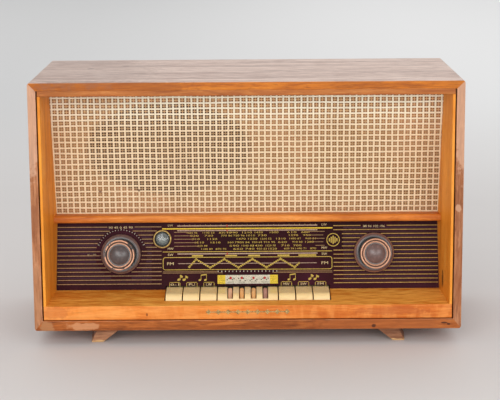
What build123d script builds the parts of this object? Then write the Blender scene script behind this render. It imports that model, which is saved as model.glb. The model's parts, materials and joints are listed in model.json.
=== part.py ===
from build123d import *
import math
import os

os.makedirs("parts", exist_ok=True)

# Valve table radio, in millimetres. X runs to the right, Y to the back, Z up.
# The origin is on the floor, under the middle of the cabinet.

# ---------------------------------------------------------------- cabinet sizes
overall_width = 635.0
cabinet_height = 372.0
overall_depth = 280.0
foot_height = 22.0
side_board = 12.0
top_board = 12.0
bottom_board = 15.0
corner_radius = 4.0
edge_round = 1.2
rebate_width = 5.0
rebate_depth = 15.0

# ------------------------------------------------- lining of the front opening
lining_gap = 2.0
lining_setback = 1.5
lining_thickness = 3.6
lining_splay = 0.11
top_trim = 8.4
sill_height = 22.0
sill_gap = 1.2
sill_gap_depth = 6.0
sill_bar = 16.0
shelf_rise = 7.0
shelf_thickness = 6.0

# ----------------------------------------------- speaker front and dial planes
grille_top_depth = 58.4
grille_lean = 8.0
dial_foot_depth = 68.0
dial_lean = 10.86
glass_thickness = 3.0
glass_overlap = 4.5
cloth_thickness = 1.2
baffle_thickness = 10.0
panel_clearance = 0.5
rail_height = 14.6
rail_undercut = 4.2
rail_round = 4.2
rail_projection = 21.5

# ------------------------------------------------------------------- speaker
speaker_x = -117.0
speaker_rise = 118.0
cone_half_width = 125.0
cone_half_height = 71.5
flange_width = 12.0
flange_thickness = 2.0
basket_depth = 58.0
basket_wall = 1.5
magnet_radius = 42.0
magnet_length = 34.0
pole_radius = 12.0

# ------------------------------------------------------------- knobs and dial
knob_x = 193.0
knob_rise = 55.0
ring_overhang = 7.2
ring_height = 11.0
ring_lift = 1.5
knob_radius = 23.0
knob_length = 32.0
knob_gap = 0.6
cap_inset = 8.4
cap_height = 40.5
trim_height = 36.2
shaft_radius = 3.0
running_clearance = 0.05
tube_wall = 2.15
tube_end = 27.0
shaft_hole_clearance = 1.8
backplate_gap = 30.0
backplate_thickness = 1.5
backplate_half_width = 285.0
eye_x = -130.0
eye_rise = 77.4
eye_radius = 10.4
eye_length = 45.0
eye_hole_clearance = 0.8
bezel_width = 3.2
bezel_height = 3.4
pointer_rest_x = -31.0
pointer_low = 18.0
pointer_rise = 96.0
rail_radius = 1.5
rail_behind_glass = 11.5
rail_half_length = 104.0

# --------------------------------------------------------------- piano keys
key_width = 24.4
key_gap = 1.7
key_count_each_side = 3
block_half_width = 45.3
key_front = 24.0
key_rise = 4.0
key_nose = 15.0
key_skirt = 8.0
key_pivot_depth = 122.0
key_pivot_height = 43.0
key_pin_radius = 2.0
key_hub_radius = 5.0
key_lever = 6.0
well_margin = 1.9
well_front = 22.0
wheel_count = 4
wheel_pitch = 17.7
wheel_radius = 17.0
wheel_width = 6.6
wheel_slot = 8.8
wheel_depth = 48.5
wheel_height = 34.0
wheel_stub = 8.0
wheel_pin_radius = 2.0
slot_clearance = 4.5

# ------------------------------------------------------------------- chassis
deck_half_width = 262.0
deck_front = 138.0
deck_to_back = 13.0
deck_height = 68.0
sheet = 1.5
drum_x = 95.0
drum_height = 92.0
drum_radius = 60.0
drum_front = 129.0
drum_thickness = 5.0
spindle_wall = 2.5
flywheel_radius = 28.0
flywheel_thickness = 12.0
capacitor_front = 142.0
capacitor_length = 50.0
capacitor_half_width = 24.0
capacitor_height = 44.0
rotor_radius = 18.0
rotor_plates = 6
ferrite_x = -150.0
ferrite_depth = 196.0
ferrite_height = 145.0
ferrite_radius = 5.0
ferrite_half_length = 65.0

# --------------------------------------------------------------------- back
back_thickness = 3.0
back_clearance = 0.4
screw_radius = 1.4
screw_head = 2.3
screw_length = 11.0
screw_head_thickness = 1.6
socket_radius = 2.05
socket_strip_thickness = 6.0
cord_radius = 3.5

# ------------------------------------------------------ places worked out once
front_y = -overall_depth / 2
inner_half_width = overall_width / 2 - side_board
lining_half_width = inner_half_width - lining_gap
opening_half_width = lining_half_width - lining_thickness
ceiling = cabinet_height - top_board
trim_bottom = ceiling - top_trim
sill_top = bottom_board + sill_height
shelf_back = sill_top + shelf_rise
grille_slope = math.tan(math.radians(grille_lean))
dial_slope = math.tan(math.radians(dial_lean))
dial_cos = math.cos(math.radians(dial_lean))
dial_sin = math.sin(math.radians(dial_lean))
grille_cos = math.cos(math.radians(grille_lean))
grille_sin = math.sin(math.radians(grille_lean))
fold_height = (
    grille_top_depth + trim_bottom * grille_slope - dial_foot_depth + shelf_back * dial_slope
) / (grille_slope + dial_slope)
fold_depth = dial_foot_depth + (fold_height - shelf_back) * dial_slope
rail_top = fold_height + rail_height
rail_front = fold_depth - rail_projection
back_face = overall_depth - rebate_depth
deck_back = back_face - deck_to_back
ring_radius = knob_radius + ring_overhang
cap_radius = knob_radius - cap_inset
bore = shaft_radius + running_clearance
tube_radius = bore + tube_wall
shaft_hole = tube_radius + shaft_hole_clearance
spindle_radius = shaft_radius + spindle_wall


def at_depth(distance):
    """Y of a plane this far behind the cabinet's front."""
    return front_y + distance


def at_height(height):
    """Z of a plane this far above the cabinet's underside."""
    return foot_height + height


def side_point(distance, height):
    """A point of a side profile, from its depth and its height."""
    return (at_depth(distance), at_height(height))


def lining_x(distance):
    """Half width between the splayed linings at a depth."""
    return opening_half_width - lining_splay * distance


def grille_at(height):
    """Depth of the speaker front at a height."""
    return fold_depth - (height - fold_height) * grille_slope


def dial_at(height):
    """Depth of the dial's face at a height."""
    return dial_foot_depth + (height - shelf_back) * dial_slope


grille_plane = Plane(
    origin=(0, at_depth(fold_depth), at_height(fold_height)),
    x_dir=(1, 0, 0),
    z_dir=(0, -grille_cos, -grille_sin),
)
dial_plane = Plane(
    origin=(0, at_depth(dial_foot_depth), at_height(shelf_back)),
    x_dir=(1, 0, 0),
    z_dir=(0, -dial_cos, dial_sin),
)
glass_top = (fold_height - shelf_back) / dial_cos - panel_clearance


def front_plane(distance):
    """A plane that faces the front, this far behind the cabinet's front."""
    return Plane.XZ.offset(-at_depth(distance))


def floor_plane(height):
    """A level plane, this far above the cabinet's underside."""
    return Plane.XY.offset(at_height(height))


def save(piece, name):
    piece.part.label = name
    export_step(piece.part, f"parts/{name}.step")


def side_name(side):
    return "left" if side < 0 else "right"


def dome_middle(radius, foot, top):
    """A point half way up the arc of a shallow dome that stands on a circle."""
    ball = (radius**2 + (top - foot) ** 2) / (2 * (top - foot))
    return (radius / 2, top - ball + math.sqrt(ball**2 - radius**2 / 4))


# ------------------------------------------------------------------- cabinet
half_width = overall_width / 2
rebate_half_width = inner_half_width + rebate_width
outer_bottom_left = (-half_width, at_height(0))
outer_bottom_right = (half_width, at_height(0))
outer_top_left = (-half_width, at_height(cabinet_height))
outer_top_right = (half_width, at_height(cabinet_height))
inner_bottom_left = (-inner_half_width, at_height(bottom_board))
inner_bottom_right = (inner_half_width, at_height(bottom_board))
inner_top_left = (-inner_half_width, at_height(ceiling))
inner_top_right = (inner_half_width, at_height(ceiling))
middle_height = at_height((bottom_board + ceiling) / 2)
inner_height = ceiling - bottom_board

screw_margin = rebate_width / 2
screw_side_x = inner_half_width + screw_margin
screw_top = at_height(ceiling + screw_margin)
screw_bottom = at_height(bottom_board - screw_margin)
screw_places = [
    (side * screw_side_x, at_height(height)) for side in (-1, 1) for height in (60, 187, 314)
] + [(x, level) for level in (screw_bottom, screw_top) for x in (-200, 0, 200)]


def cabinet_board(corners):
    """One mitred board of the cabinet, with its share of the rebate for the back."""
    with BuildPart() as board:
        with BuildSketch(front_plane(0)):
            with Locations((0, at_height(cabinet_height / 2))):
                RectangleRounded(overall_width, cabinet_height, corner_radius)
            with Locations((0, middle_height)):
                Rectangle(2 * inner_half_width, inner_height, mode=Mode.SUBTRACT)
            with BuildLine():
                Polyline(*corners, close=True)
            make_face(mode=Mode.INTERSECT)
        extrude(amount=-overall_depth)
        front_edges = board.faces().sort_by(Axis.Y)[0].edges()
        rims = [
            edge
            for edge in front_edges
            if min(abs((edge % 0.5).X), abs((edge % 0.5).Z)) < 0.01
            or edge.geom_type == GeomType.CIRCLE
        ]
        fillet(rims, radius=edge_round)
        with BuildSketch(front_plane(back_face)):
            with Locations((0, middle_height)):
                Rectangle(
                    2 * rebate_half_width,
                    inner_height + 2 * rebate_width,
                )
        extrude(amount=-rebate_depth, mode=Mode.SUBTRACT)
        with BuildSketch(front_plane(back_face)):
            with Locations(*screw_places):
                Circle(screw_radius + running_clearance)
        extrude(amount=screw_length, mode=Mode.SUBTRACT)
    return board


cabinet_top = cabinet_board([outer_top_left, outer_top_right, inner_top_right, inner_top_left])
save(cabinet_top, "cabinet_top")

cabinet_bottom = cabinet_board(
    [outer_bottom_left, outer_bottom_right, inner_bottom_right, inner_bottom_left]
)
save(cabinet_bottom, "cabinet_bottom")

cabinet_side_left = cabinet_board(
    [outer_bottom_left, inner_bottom_left, inner_top_left, outer_top_left]
)
save(cabinet_side_left, "cabinet_side_left")

cabinet_side_right = cabinet_board(
    [outer_bottom_right, inner_bottom_right, inner_top_right, outer_top_right]
)
save(cabinet_side_right, "cabinet_side_right")

# ---------------------------------------------------- lining, rail and sill
with BuildPart() as trim_top:
    with BuildSketch(Plane.YZ):
        with BuildLine():
            Polyline(
                side_point(lining_setback, trim_bottom),
                side_point(lining_setback, ceiling),
                side_point(grille_at(ceiling), ceiling),
                side_point(grille_at(trim_bottom), trim_bottom),
                close=True,
            )
        make_face()
    extrude(amount=lining_half_width, both=True)
    fillet(trim_top.faces().sort_by(Axis.Y)[0].edges().group_by(Axis.Z)[0], radius=edge_round)
save(trim_top, "trim_top")


def flank(side):
    """Splayed side lining between the sill and the top trim."""
    back = fold_depth + 1
    with BuildPart() as lining:
        with BuildSketch(floor_plane(0)):
            with BuildLine():
                Polyline(
                    (side * lining_x(lining_setback), at_depth(lining_setback)),
                    (side * lining_half_width, at_depth(lining_setback)),
                    (side * (lining_x(back) + lining_thickness), at_depth(back)),
                    (side * lining_x(back), at_depth(back)),
                    close=True,
                )
            make_face()
        extrude(amount=cabinet_height)
        with BuildSketch(Plane.YZ):
            with BuildLine():
                Polyline(
                    side_point(lining_setback, sill_top),
                    side_point(lining_setback, trim_bottom),
                    side_point(grille_at(trim_bottom), trim_bottom),
                    side_point(fold_depth, fold_height),
                    side_point(dial_foot_depth, shelf_back),
                    close=True,
                )
            make_face()
        extrude(amount=side * half_width, mode=Mode.INTERSECT)
        inner_front = lining.faces().sort_by(Axis.Y)[0].edges().filter_by(Axis.Z)
        fillet(inner_front.sort_by(lambda edge: abs(edge.center().X))[0], radius=edge_round)
    return lining


for side in (-1, 1):
    save(flank(side), f"flank_{side_name(side)}")

key_span = key_count_each_side * (key_width + key_gap)
keys_half_width = block_half_width + key_span
well_half_width = keys_half_width + well_margin
glass_foot = shelf_back - 8.0

with BuildPart() as front_sill:
    with BuildSketch(Plane.YZ):
        with BuildLine():
            Polyline(
                side_point(lining_setback, bottom_board + sill_gap),
                side_point(lining_setback, sill_top),
                side_point(dial_foot_depth, shelf_back),
                side_point(dial_at(glass_foot), glass_foot),
                side_point(sill_bar, sill_top - shelf_thickness),
                side_point(sill_bar, bottom_board),
                side_point(sill_gap_depth, bottom_board),
                side_point(sill_gap_depth, bottom_board + sill_gap),
                close=True,
            )
        make_face()
    extrude(amount=lining_half_width, both=True)
    fillet(front_sill.faces().sort_by(Axis.Y)[0].edges().filter_by(Axis.X), radius=edge_round)
    with BuildSketch(floor_plane(0)):
        with BuildLine():
            Polyline(
                (-well_half_width, at_depth(well_front)),
                (well_half_width, at_depth(well_front)),
                (well_half_width, at_depth(deck_front)),
                (-well_half_width, at_depth(deck_front)),
                close=True,
            )
        make_face()
    extrude(amount=cabinet_height, mode=Mode.SUBTRACT)
save(front_sill, "front_sill")

with BuildPart() as centre_rail:
    with BuildSketch(Plane.YZ):
        with BuildLine():
            Polyline(
                side_point(rail_front, fold_height + rail_undercut),
                side_point(rail_front, rail_top),
                side_point(grille_at(rail_top), rail_top),
                side_point(fold_depth, fold_height),
                close=True,
            )
        make_face()
    extrude(amount=half_width, both=True)
    with BuildSketch(floor_plane(0)):
        with BuildLine():
            Polyline(
                (-lining_x(0), at_depth(0)),
                (lining_x(0), at_depth(0)),
                (lining_x(fold_depth), at_depth(fold_depth)),
                (-lining_x(fold_depth), at_depth(fold_depth)),
                close=True,
            )
        make_face()
    extrude(amount=cabinet_height, mode=Mode.INTERSECT)
    rail_nose = centre_rail.faces().sort_by(Axis.Y)[0].edges().filter_by(Axis.X)
    fillet(rail_nose, radius=rail_round)
save(centre_rail, "centre_rail")

# ------------------------------------------------------------------------ feet
foot_setback = 17.0
foot_length = 34.0
foot_top_inner = 188.5
foot_top_outer = 224.5
foot_tip_inner = 218.0
foot_tip_outer = 235.0
foot_flare = 3.0
foot_lean = 3.0


def foot(side, end):
    """A splayed wooden foot: side is left or right, end is front or back."""
    near = end * (overall_depth / 2 - foot_setback)
    far = end * (overall_depth / 2 - foot_setback - foot_length)
    tip_near = near + end * foot_lean
    with BuildPart() as block:
        with BuildSketch(Plane.XY):
            with BuildLine():
                Polyline(
                    (side * foot_tip_inner, tip_near),
                    (side * foot_tip_outer, tip_near),
                    (side * (foot_tip_outer + foot_flare), far),
                    (side * foot_tip_inner, far),
                    close=True,
                )
            make_face()
        with BuildSketch(floor_plane(0)):
            with BuildLine():
                Polyline(
                    (side * foot_top_inner, near),
                    (side * foot_top_outer, near),
                    (side * (foot_top_outer + foot_flare), far),
                    (side * foot_top_inner, far),
                    close=True,
                )
            make_face()
        loft()
        chamfer(block.faces().sort_by(Axis.Z)[0].edges(), length=1.2)
    return block


for side in (-1, 1):
    for end in (-1, 1):
        place = "front" if end < 0 else "rear"
        save(foot(side, end), f"foot_{place}_{side_name(side)}")

# ------------------------------------------------- baffle, cloth and speaker
baffle_half_width = lining_half_width - 3.5
baffle_top = (ceiling - panel_clearance - fold_height) / grille_cos - baffle_thickness * grille_sin
baffle_foot = 4.0
baffle_middle = (baffle_top + baffle_foot) / 2
baffle_rise = baffle_top - baffle_foot
baffle_back = -cloth_thickness - baffle_thickness

with BuildPart() as speaker_cloth:
    with BuildSketch(grille_plane):
        with Locations((0, baffle_middle)):
            Rectangle(2 * baffle_half_width, baffle_rise)
    extrude(amount=-cloth_thickness)
save(speaker_cloth, "speaker_cloth")

flange_half_width = cone_half_width + flange_width
flange_half_height = cone_half_height + flange_width
bolt_reach = 0.68
flange_bolts = [
    (
        speaker_x + sx * flange_half_width * bolt_reach,
        speaker_rise + sy * flange_half_height * bolt_reach,
    )
    for sx in (-1, 1)
    for sy in (-1, 1)
]
flange_bolt_depth = 8.0

with BuildPart() as baffle_board:
    with BuildSketch(grille_plane.offset(-cloth_thickness)):
        with Locations((0, baffle_middle)):
            Rectangle(2 * baffle_half_width, baffle_rise)
        with Locations((speaker_x, speaker_rise)):
            Ellipse(cone_half_width, cone_half_height, mode=Mode.SUBTRACT)
    extrude(amount=-baffle_thickness)
    with BuildSketch(grille_plane.offset(baffle_back)):
        with Locations(*flange_bolts):
            Circle(screw_radius + running_clearance)
    extrude(amount=flange_bolt_depth, mode=Mode.SUBTRACT)
save(baffle_board, "baffle_board")

basket_front = baffle_back
basket_back = basket_front - basket_depth
hub_margin = 4.0
basket_hub = magnet_radius + hub_margin
surround = 4.0
hub_plate = 3.0
bolt_clearance = 0.2
window_margin = 8.0
arm_width = 16.0
arm_angle = 30
pole_hole = pole_radius + hub_margin

with BuildPart() as speaker_basket:
    with BuildSketch(grille_plane.offset(basket_front)):
        with Locations((speaker_x, speaker_rise)):
            Ellipse(flange_half_width, flange_half_height)
            Ellipse(cone_half_width - surround, cone_half_height - surround, mode=Mode.SUBTRACT)
        with Locations(*flange_bolts):
            Circle(screw_radius + bolt_clearance, mode=Mode.SUBTRACT)
    extrude(amount=-flange_thickness)
    with BuildSketch(grille_plane.offset(basket_front - flange_thickness)):
        with Locations((speaker_x, speaker_rise)):
            Ellipse(cone_half_width, cone_half_height)
    with BuildSketch(grille_plane.offset(basket_back)):
        with Locations((speaker_x, speaker_rise)):
            Circle(basket_hub)
    loft()
    with BuildSketch(grille_plane.offset(basket_front - flange_thickness)):
        with Locations((speaker_x, speaker_rise)):
            Ellipse(cone_half_width - basket_wall, cone_half_height - basket_wall)
    with BuildSketch(grille_plane.offset(basket_back)):
        with Locations((speaker_x, speaker_rise)):
            Circle(basket_hub - basket_wall)
    loft(mode=Mode.SUBTRACT)
    with BuildSketch(grille_plane.offset(basket_back)):
        with Locations((speaker_x, speaker_rise)):
            Circle(basket_hub)
            Circle(pole_hole, mode=Mode.SUBTRACT)
    extrude(amount=-hub_plate)
    with BuildSketch(grille_plane.offset(basket_back + basket_wall)):
        with Locations((speaker_x, speaker_rise)):
            Ellipse(cone_half_width - flange_width, cone_half_height - window_margin)
            Circle(basket_hub + basket_wall, mode=Mode.SUBTRACT)
            Rectangle(2 * cone_half_width, arm_width, rotation=arm_angle, mode=Mode.SUBTRACT)
            Rectangle(2 * cone_half_width, arm_width, rotation=-arm_angle, mode=Mode.SUBTRACT)
    extrude(amount=basket_depth - 3 * flange_thickness, mode=Mode.SUBTRACT)
save(speaker_basket, "speaker_basket")

cone_front = basket_front - flange_thickness
cone_depth = 40.0
cone_back = basket_front - cone_depth
cone_inset = 6.0
rim_inset = 8.0
rim_overlap = 1.0
coil_length = 14.0
coil_radius = pole_radius + 0.8
cone_wall = 0.9

with BuildPart() as speaker_cone:
    with BuildSketch(grille_plane.offset(cone_front)):
        with Locations((speaker_x, speaker_rise)):
            Ellipse(cone_half_width - cone_inset, cone_half_height - cone_inset)
    with BuildSketch(grille_plane.offset(cone_back)):
        with Locations((speaker_x, speaker_rise)):
            Circle(2 * coil_radius)
    loft()
    with BuildSketch(grille_plane.offset(cone_front)):
        with Locations((speaker_x, speaker_rise)):
            Ellipse(
                cone_half_width - cone_inset - cone_wall,
                cone_half_height - cone_inset - cone_wall,
            )
    with BuildSketch(grille_plane.offset(cone_back)):
        with Locations((speaker_x, speaker_rise)):
            Circle(2 * coil_radius - cone_wall)
    loft(mode=Mode.SUBTRACT)
    with BuildSketch(grille_plane.offset(cone_front)):
        with Locations((speaker_x, speaker_rise)):
            Ellipse(
                cone_half_width - surround + rim_overlap,
                cone_half_height - surround + rim_overlap,
            )
            Ellipse(
                cone_half_width - rim_inset, cone_half_height - rim_inset, mode=Mode.SUBTRACT
            )
    extrude(amount=-cone_wall)
    with BuildSketch(grille_plane.offset(cone_back)):
        with Locations((speaker_x, speaker_rise)):
            Circle(2 * coil_radius)
    extrude(amount=-cone_wall)
    with BuildSketch(grille_plane.offset(cone_back - cone_wall)):
        with Locations((speaker_x, speaker_rise)):
            Circle(coil_radius + cone_wall)
            Circle(coil_radius, mode=Mode.SUBTRACT)
    extrude(amount=-coil_length)
save(speaker_cone, "speaker_cone")

magnet_front = basket_back - hub_plate
yoke = 6.0
magnet_waist = 4.0
pole_rise = 10.0

with BuildPart() as speaker_magnet:
    with BuildSketch(grille_plane.offset(magnet_front)):
        with Locations((speaker_x, speaker_rise)):
            Circle(magnet_radius)
    extrude(amount=-yoke)
    with BuildSketch(grille_plane.offset(magnet_front - yoke)):
        with Locations((speaker_x, speaker_rise)):
            Circle(magnet_radius - magnet_waist)
    extrude(amount=-(magnet_length - 2 * yoke))
    with BuildSketch(grille_plane.offset(magnet_front - magnet_length + yoke)):
        with Locations((speaker_x, speaker_rise)):
            Circle(magnet_radius)
    extrude(amount=-yoke)
    with BuildSketch(grille_plane.offset(magnet_front)):
        with Locations((speaker_x, speaker_rise)):
            Circle(pole_radius)
    extrude(amount=hub_plate + pole_rise)
save(speaker_magnet, "speaker_magnet")

# ----------------------------------------------------------- dial and its back
knob_centres = [(-knob_x, knob_rise), (knob_x, knob_rise)]
glass_foot_rise = (glass_foot - shelf_back) / dial_cos
glass_half_width = lining_x(dial_foot_depth) + glass_overlap
notch_clearance = 1.4
notch_top = (key_rise + notch_clearance) / dial_cos
eye_hole = eye_radius + eye_hole_clearance


def dial_rectangle(half_x, low, high):
    """Sketches a rectangle on the dial plane from its half width and two heights."""
    with Locations((0, (low + high) / 2)):
        Rectangle(2 * half_x, high - low)


with BuildPart() as dial_glass:
    with BuildSketch(dial_plane):
        dial_rectangle(glass_half_width, glass_foot_rise, glass_top)
        with Locations((0, notch_top - cabinet_height / 2)):
            Rectangle(2 * well_half_width, cabinet_height, mode=Mode.SUBTRACT)
        with Locations(*knob_centres):
            Circle(shaft_hole, mode=Mode.SUBTRACT)
        with Locations((eye_x, eye_rise)):
            Circle(eye_hole, mode=Mode.SUBTRACT)
    extrude(amount=-glass_thickness)
save(dial_glass, "dial_glass")

bush_wall = 4.0
pot_bush_wall = 1.85
bush_radius = bore + bush_wall
pot_bush_radius = bore + pot_bush_wall
bush_length = 5.0
pot_radius = 13.0
pot_length = 17.0
backplate_top = 96.0
backplate_foot = -26.0
lever_notch = 16.0
pot_bush_front = -(tube_end + 1.0)

with BuildPart() as dial_backplate:
    with BuildSketch(dial_plane.offset(-backplate_gap)):
        dial_rectangle(backplate_half_width, backplate_foot, backplate_top)
        with Locations((0, lever_notch - cabinet_height / 2)):
            Rectangle(2 * (well_half_width + 3.0), cabinet_height, mode=Mode.SUBTRACT)
        with Locations((eye_x, eye_rise)):
            Circle(eye_hole, mode=Mode.SUBTRACT)
    extrude(amount=-backplate_thickness)
    with BuildSketch(dial_plane.offset(-backplate_gap)):
        with Locations((knob_x, knob_rise)):
            Circle(bush_radius)
    extrude(amount=bush_length)
    with BuildSketch(dial_plane):
        with Locations((knob_x, knob_rise)):
            Circle(shaft_radius + running_clearance)
        with Locations((-knob_x, knob_rise)):
            Circle(pot_bush_radius + running_clearance)
    extrude(amount=-2 * backplate_gap, mode=Mode.SUBTRACT)
    with BuildSketch(Plane.XY):
        Rectangle(overall_width, overall_depth)
    extrude(amount=at_height(bottom_board), mode=Mode.SUBTRACT)
save(dial_backplate, "dial_backplate")

rail_seat = pointer_rise
carriage_half = 6.0
carriage_height = 7.0
carriage_thickness = 6.0

with BuildPart() as pointer_rail:
    with BuildSketch(Plane.YZ.offset(-rail_half_length)):
        rail_spot = dial_plane.from_local_coords(Vector(0, rail_seat, -rail_behind_glass))
        with Locations((rail_spot.Y, rail_spot.Z)):
            Circle(rail_radius)
    extrude(amount=2 * rail_half_length)
    post_radius = 2.5
    for side in (-1, 1):
        with BuildSketch(dial_plane.offset(-backplate_gap)):
            with Locations((side * (rail_half_length + post_radius), rail_seat - 3.0)):
                RectangleRounded(2 * post_radius, 6 * rail_radius, 0.5)
        extrude(amount=backplate_gap - rail_behind_glass + 2 * rail_radius)
save(pointer_rail, "pointer_rail")

blade_half_width = 0.75
blade_front = -6.0

with BuildPart() as dial_pointer:
    with BuildSketch(dial_plane.offset(-rail_behind_glass - carriage_thickness / 2)):
        with Locations((pointer_rest_x, rail_seat)):
            Rectangle(2 * carriage_half, carriage_height)
    extrude(amount=carriage_thickness)
    with BuildSketch(dial_plane.offset(blade_front)):
        with Locations((pointer_rest_x, (pointer_low + rail_seat) / 2)):
            Rectangle(2 * blade_half_width, rail_seat - pointer_low)
    extrude(amount=-1.2)
    with BuildSketch(dial_plane.offset(blade_front)):
        with Locations((pointer_rest_x, rail_seat - 2.0)):
            Rectangle(2 * blade_half_width, 3.0)
    extrude(amount=-4.0)
    with BuildSketch(Plane.YZ.offset(pointer_rest_x - 2 * carriage_half)):
        with Locations((rail_spot.Y, rail_spot.Z)):
            Circle(rail_radius + running_clearance)
    extrude(amount=4 * carriage_half, mode=Mode.SUBTRACT)
save(dial_pointer, "dial_pointer")


def dial_axis(x, rise):
    """The axis that stands out of the dial at one of its points."""
    return Axis(dial_plane.from_local_coords(Vector(x, rise, 0)), dial_plane.z_dir)


def turning_plane(x, rise):
    """A plane through such an axis: across it is radius, up it is height over the glass."""
    return Plane(
        origin=dial_plane.from_local_coords(Vector(x, rise, 0)),
        x_dir=dial_plane.x_dir,
        z_dir=-dial_plane.y_dir,
    )


eye_dome = 1.8

with BuildPart() as magic_eye_tube:
    with BuildSketch(turning_plane(eye_x, eye_rise)):
        with BuildLine():
            Line((0, -eye_length), (eye_radius, -eye_length))
            Line((eye_radius, -eye_length), (eye_radius, 0.4))
            ThreePointArc((eye_radius, 0.4), dome_middle(eye_radius, 0.4, eye_dome), (0, eye_dome))
            Line((0, eye_dome), (0, -eye_length))
        make_face()
    revolve(axis=dial_axis(eye_x, eye_rise))
save(magic_eye_tube, "magic_eye_tube")

with BuildPart() as magic_eye_bezel:
    bezel_inner = eye_radius + 0.4
    with BuildSketch(turning_plane(eye_x, eye_rise)):
        with BuildLine():
            Line((bezel_inner, 0), (bezel_inner + bezel_width, 0))
            Line((bezel_inner + bezel_width, 0), (bezel_inner + bezel_width, 1.0))
            ThreePointArc(
                (bezel_inner + bezel_width, 1.0),
                (bezel_inner + bezel_width * 0.62, bezel_height),
                (bezel_inner, 2.2),
            )
            Line((bezel_inner, 2.2), (bezel_inner, 0))
        make_face()
    revolve(axis=dial_axis(eye_x, eye_rise))
save(magic_eye_bezel, "magic_eye_bezel")

# ------------------------------------------------------------ front ornament
ornament_height = bottom_board + 12.5
ornament_pads = 9
ornament_pitch = 14.6
ornament_pad = 5.6
ornament_bar = 1.5
ornament_thickness = 1.1

with BuildPart() as sill_ornament:
    with BuildSketch(front_plane(lining_setback)):
        with Locations((0, at_height(ornament_height))):
            Rectangle(ornament_pitch * (ornament_pads - 1), ornament_bar)
            with GridLocations(ornament_pitch, 1, ornament_pads, 1):
                Rectangle(ornament_pad, ornament_pad, rotation=45)
    extrude(amount=ornament_thickness)
save(sill_ornament, "sill_ornament")

# ----------------------------------------------------------------- piano keys
key_floor = sill_top - key_skirt
key_back = dial_foot_depth - 1.0
key_top = shelf_back + key_rise - 0.2
nose_top = key_top - 1.4
nose_sag = key_nose * (1 - math.sin(math.radians(45)))
key_edge_round = 0.8
lever_top = key_pivot_height + key_lever / 2
lever_floor = key_pivot_height - key_lever / 2
lever_root = 58.0


def key_outline(x, floor):
    """The outline that the keys and the centre block share, from the side, down to a floor."""
    with BuildSketch(Plane.YZ.offset(x)) as outline:
        with BuildLine():
            Polyline(
                side_point(key_back, key_top),
                side_point(key_back, floor),
                side_point(key_front, floor),
                side_point(key_front, nose_top - key_nose),
            )
            ThreePointArc(
                side_point(key_front, nose_top - key_nose),
                side_point(key_front + nose_sag, nose_top - nose_sag),
                side_point(key_front + key_nose, nose_top),
            )
            Line(side_point(key_front + key_nose, nose_top), side_point(key_back, key_top))
        make_face()
    return outline.sketch


def cap_rims(piece):
    """The side edges of a key's front and top, which a finger meets."""
    sides = piece.faces().filter_by(Axis.X)
    low = min(edge.center().Z for edge in sides.edges()) + 0.1
    back = max(edge.center().Y for edge in sides.edges()) - 0.1
    return sides.edges().filter_by(lambda edge: edge.center().Z > low and edge.center().Y < back)


def piano_key(left_edge):
    """One key cap with its lever and its hub on the rod."""
    with BuildPart() as key:
        extrude(key_outline(left_edge, key_floor), amount=key_width)
        fillet(cap_rims(key), radius=key_edge_round)
        with BuildSketch(Plane.YZ.offset(left_edge)):
            with BuildLine():
                Polyline(
                    side_point(lever_root, lever_top),
                    side_point(key_pivot_depth, lever_top),
                    side_point(key_pivot_depth, lever_floor),
                    side_point(lever_root, lever_floor),
                    close=True,
                )
            make_face()
            with Locations(side_point(key_pivot_depth, key_pivot_height)):
                Circle(key_hub_radius)
                Circle(key_pin_radius + running_clearance, mode=Mode.SUBTRACT)
        extrude(amount=key_width)
    return key


key_edges = [
    block_half_width + key_gap + index * (key_width + key_gap)
    for index in range(key_count_each_side)
]
left_edges = [-edge - key_width for edge in reversed(key_edges)]
for number, edge in enumerate(left_edges + key_edges, start=1):
    save(piano_key(edge), f"key_{number}")

rod_cheek = 2.0
cheek_rise = 5.0
rod_half_length = well_half_width + rod_cheek

with BuildPart() as key_rod:
    with BuildSketch(Plane.YZ.offset(-rod_half_length)):
        with Locations(side_point(key_pivot_depth, key_pivot_height)):
            Circle(key_pin_radius)
    extrude(amount=2 * rod_half_length)
    for side in (-1, 1):
        with BuildSketch(Plane.YZ.offset(side * rod_half_length)):
            with BuildLine():
                Polyline(
                    side_point(key_pivot_depth - key_hub_radius, bottom_board),
                    side_point(key_pivot_depth - key_hub_radius, key_pivot_height + cheek_rise),
                    side_point(key_pivot_depth + key_hub_radius, key_pivot_height + cheek_rise),
                    side_point(key_pivot_depth + key_hub_radius, bottom_board),
                    close=True,
                )
            make_face()
        extrude(amount=side * rod_cheek)
save(key_rod, "key_rod")

wheel_centres = [(index - (wheel_count - 1) / 2) * wheel_pitch for index in range(wheel_count)]
slot_front = wheel_depth - wheel_radius - slot_clearance

with BuildPart() as key_block:
    extrude(key_outline(0, bottom_board), amount=block_half_width, both=True)
    fillet(cap_rims(key_block), radius=key_edge_round)
    with BuildSketch(floor_plane(wheel_height - wheel_radius - 1.0)):
        with Locations(*[(x, at_depth((slot_front + deck_front) / 2)) for x in wheel_centres]):
            Rectangle(wheel_slot, deck_front - slot_front)
    extrude(amount=cabinet_height, mode=Mode.SUBTRACT)
    with BuildSketch(Plane.YZ.offset(-block_half_width + 2.0)):
        with Locations(side_point(wheel_depth, wheel_height)):
            Circle(wheel_pin_radius + running_clearance)
    extrude(amount=2 * block_half_width - 4.0, mode=Mode.SUBTRACT)
save(key_block, "key_block")


def tone_wheel(x):
    """One thumbwheel on its own stub axle."""
    with BuildPart() as wheel:
        with BuildSketch(Plane.YZ.offset(x - wheel_width / 2)):
            with Locations(side_point(wheel_depth, wheel_height)):
                Circle(wheel_radius)
        extrude(amount=wheel_width)
        fillet(wheel.edges().filter_by(GeomType.CIRCLE), radius=1.2)
        with BuildSketch(Plane.YZ.offset(x - wheel_stub)):
            with Locations(side_point(wheel_depth, wheel_height)):
                Circle(wheel_pin_radius)
        extrude(amount=2 * wheel_stub)
    return wheel


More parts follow.
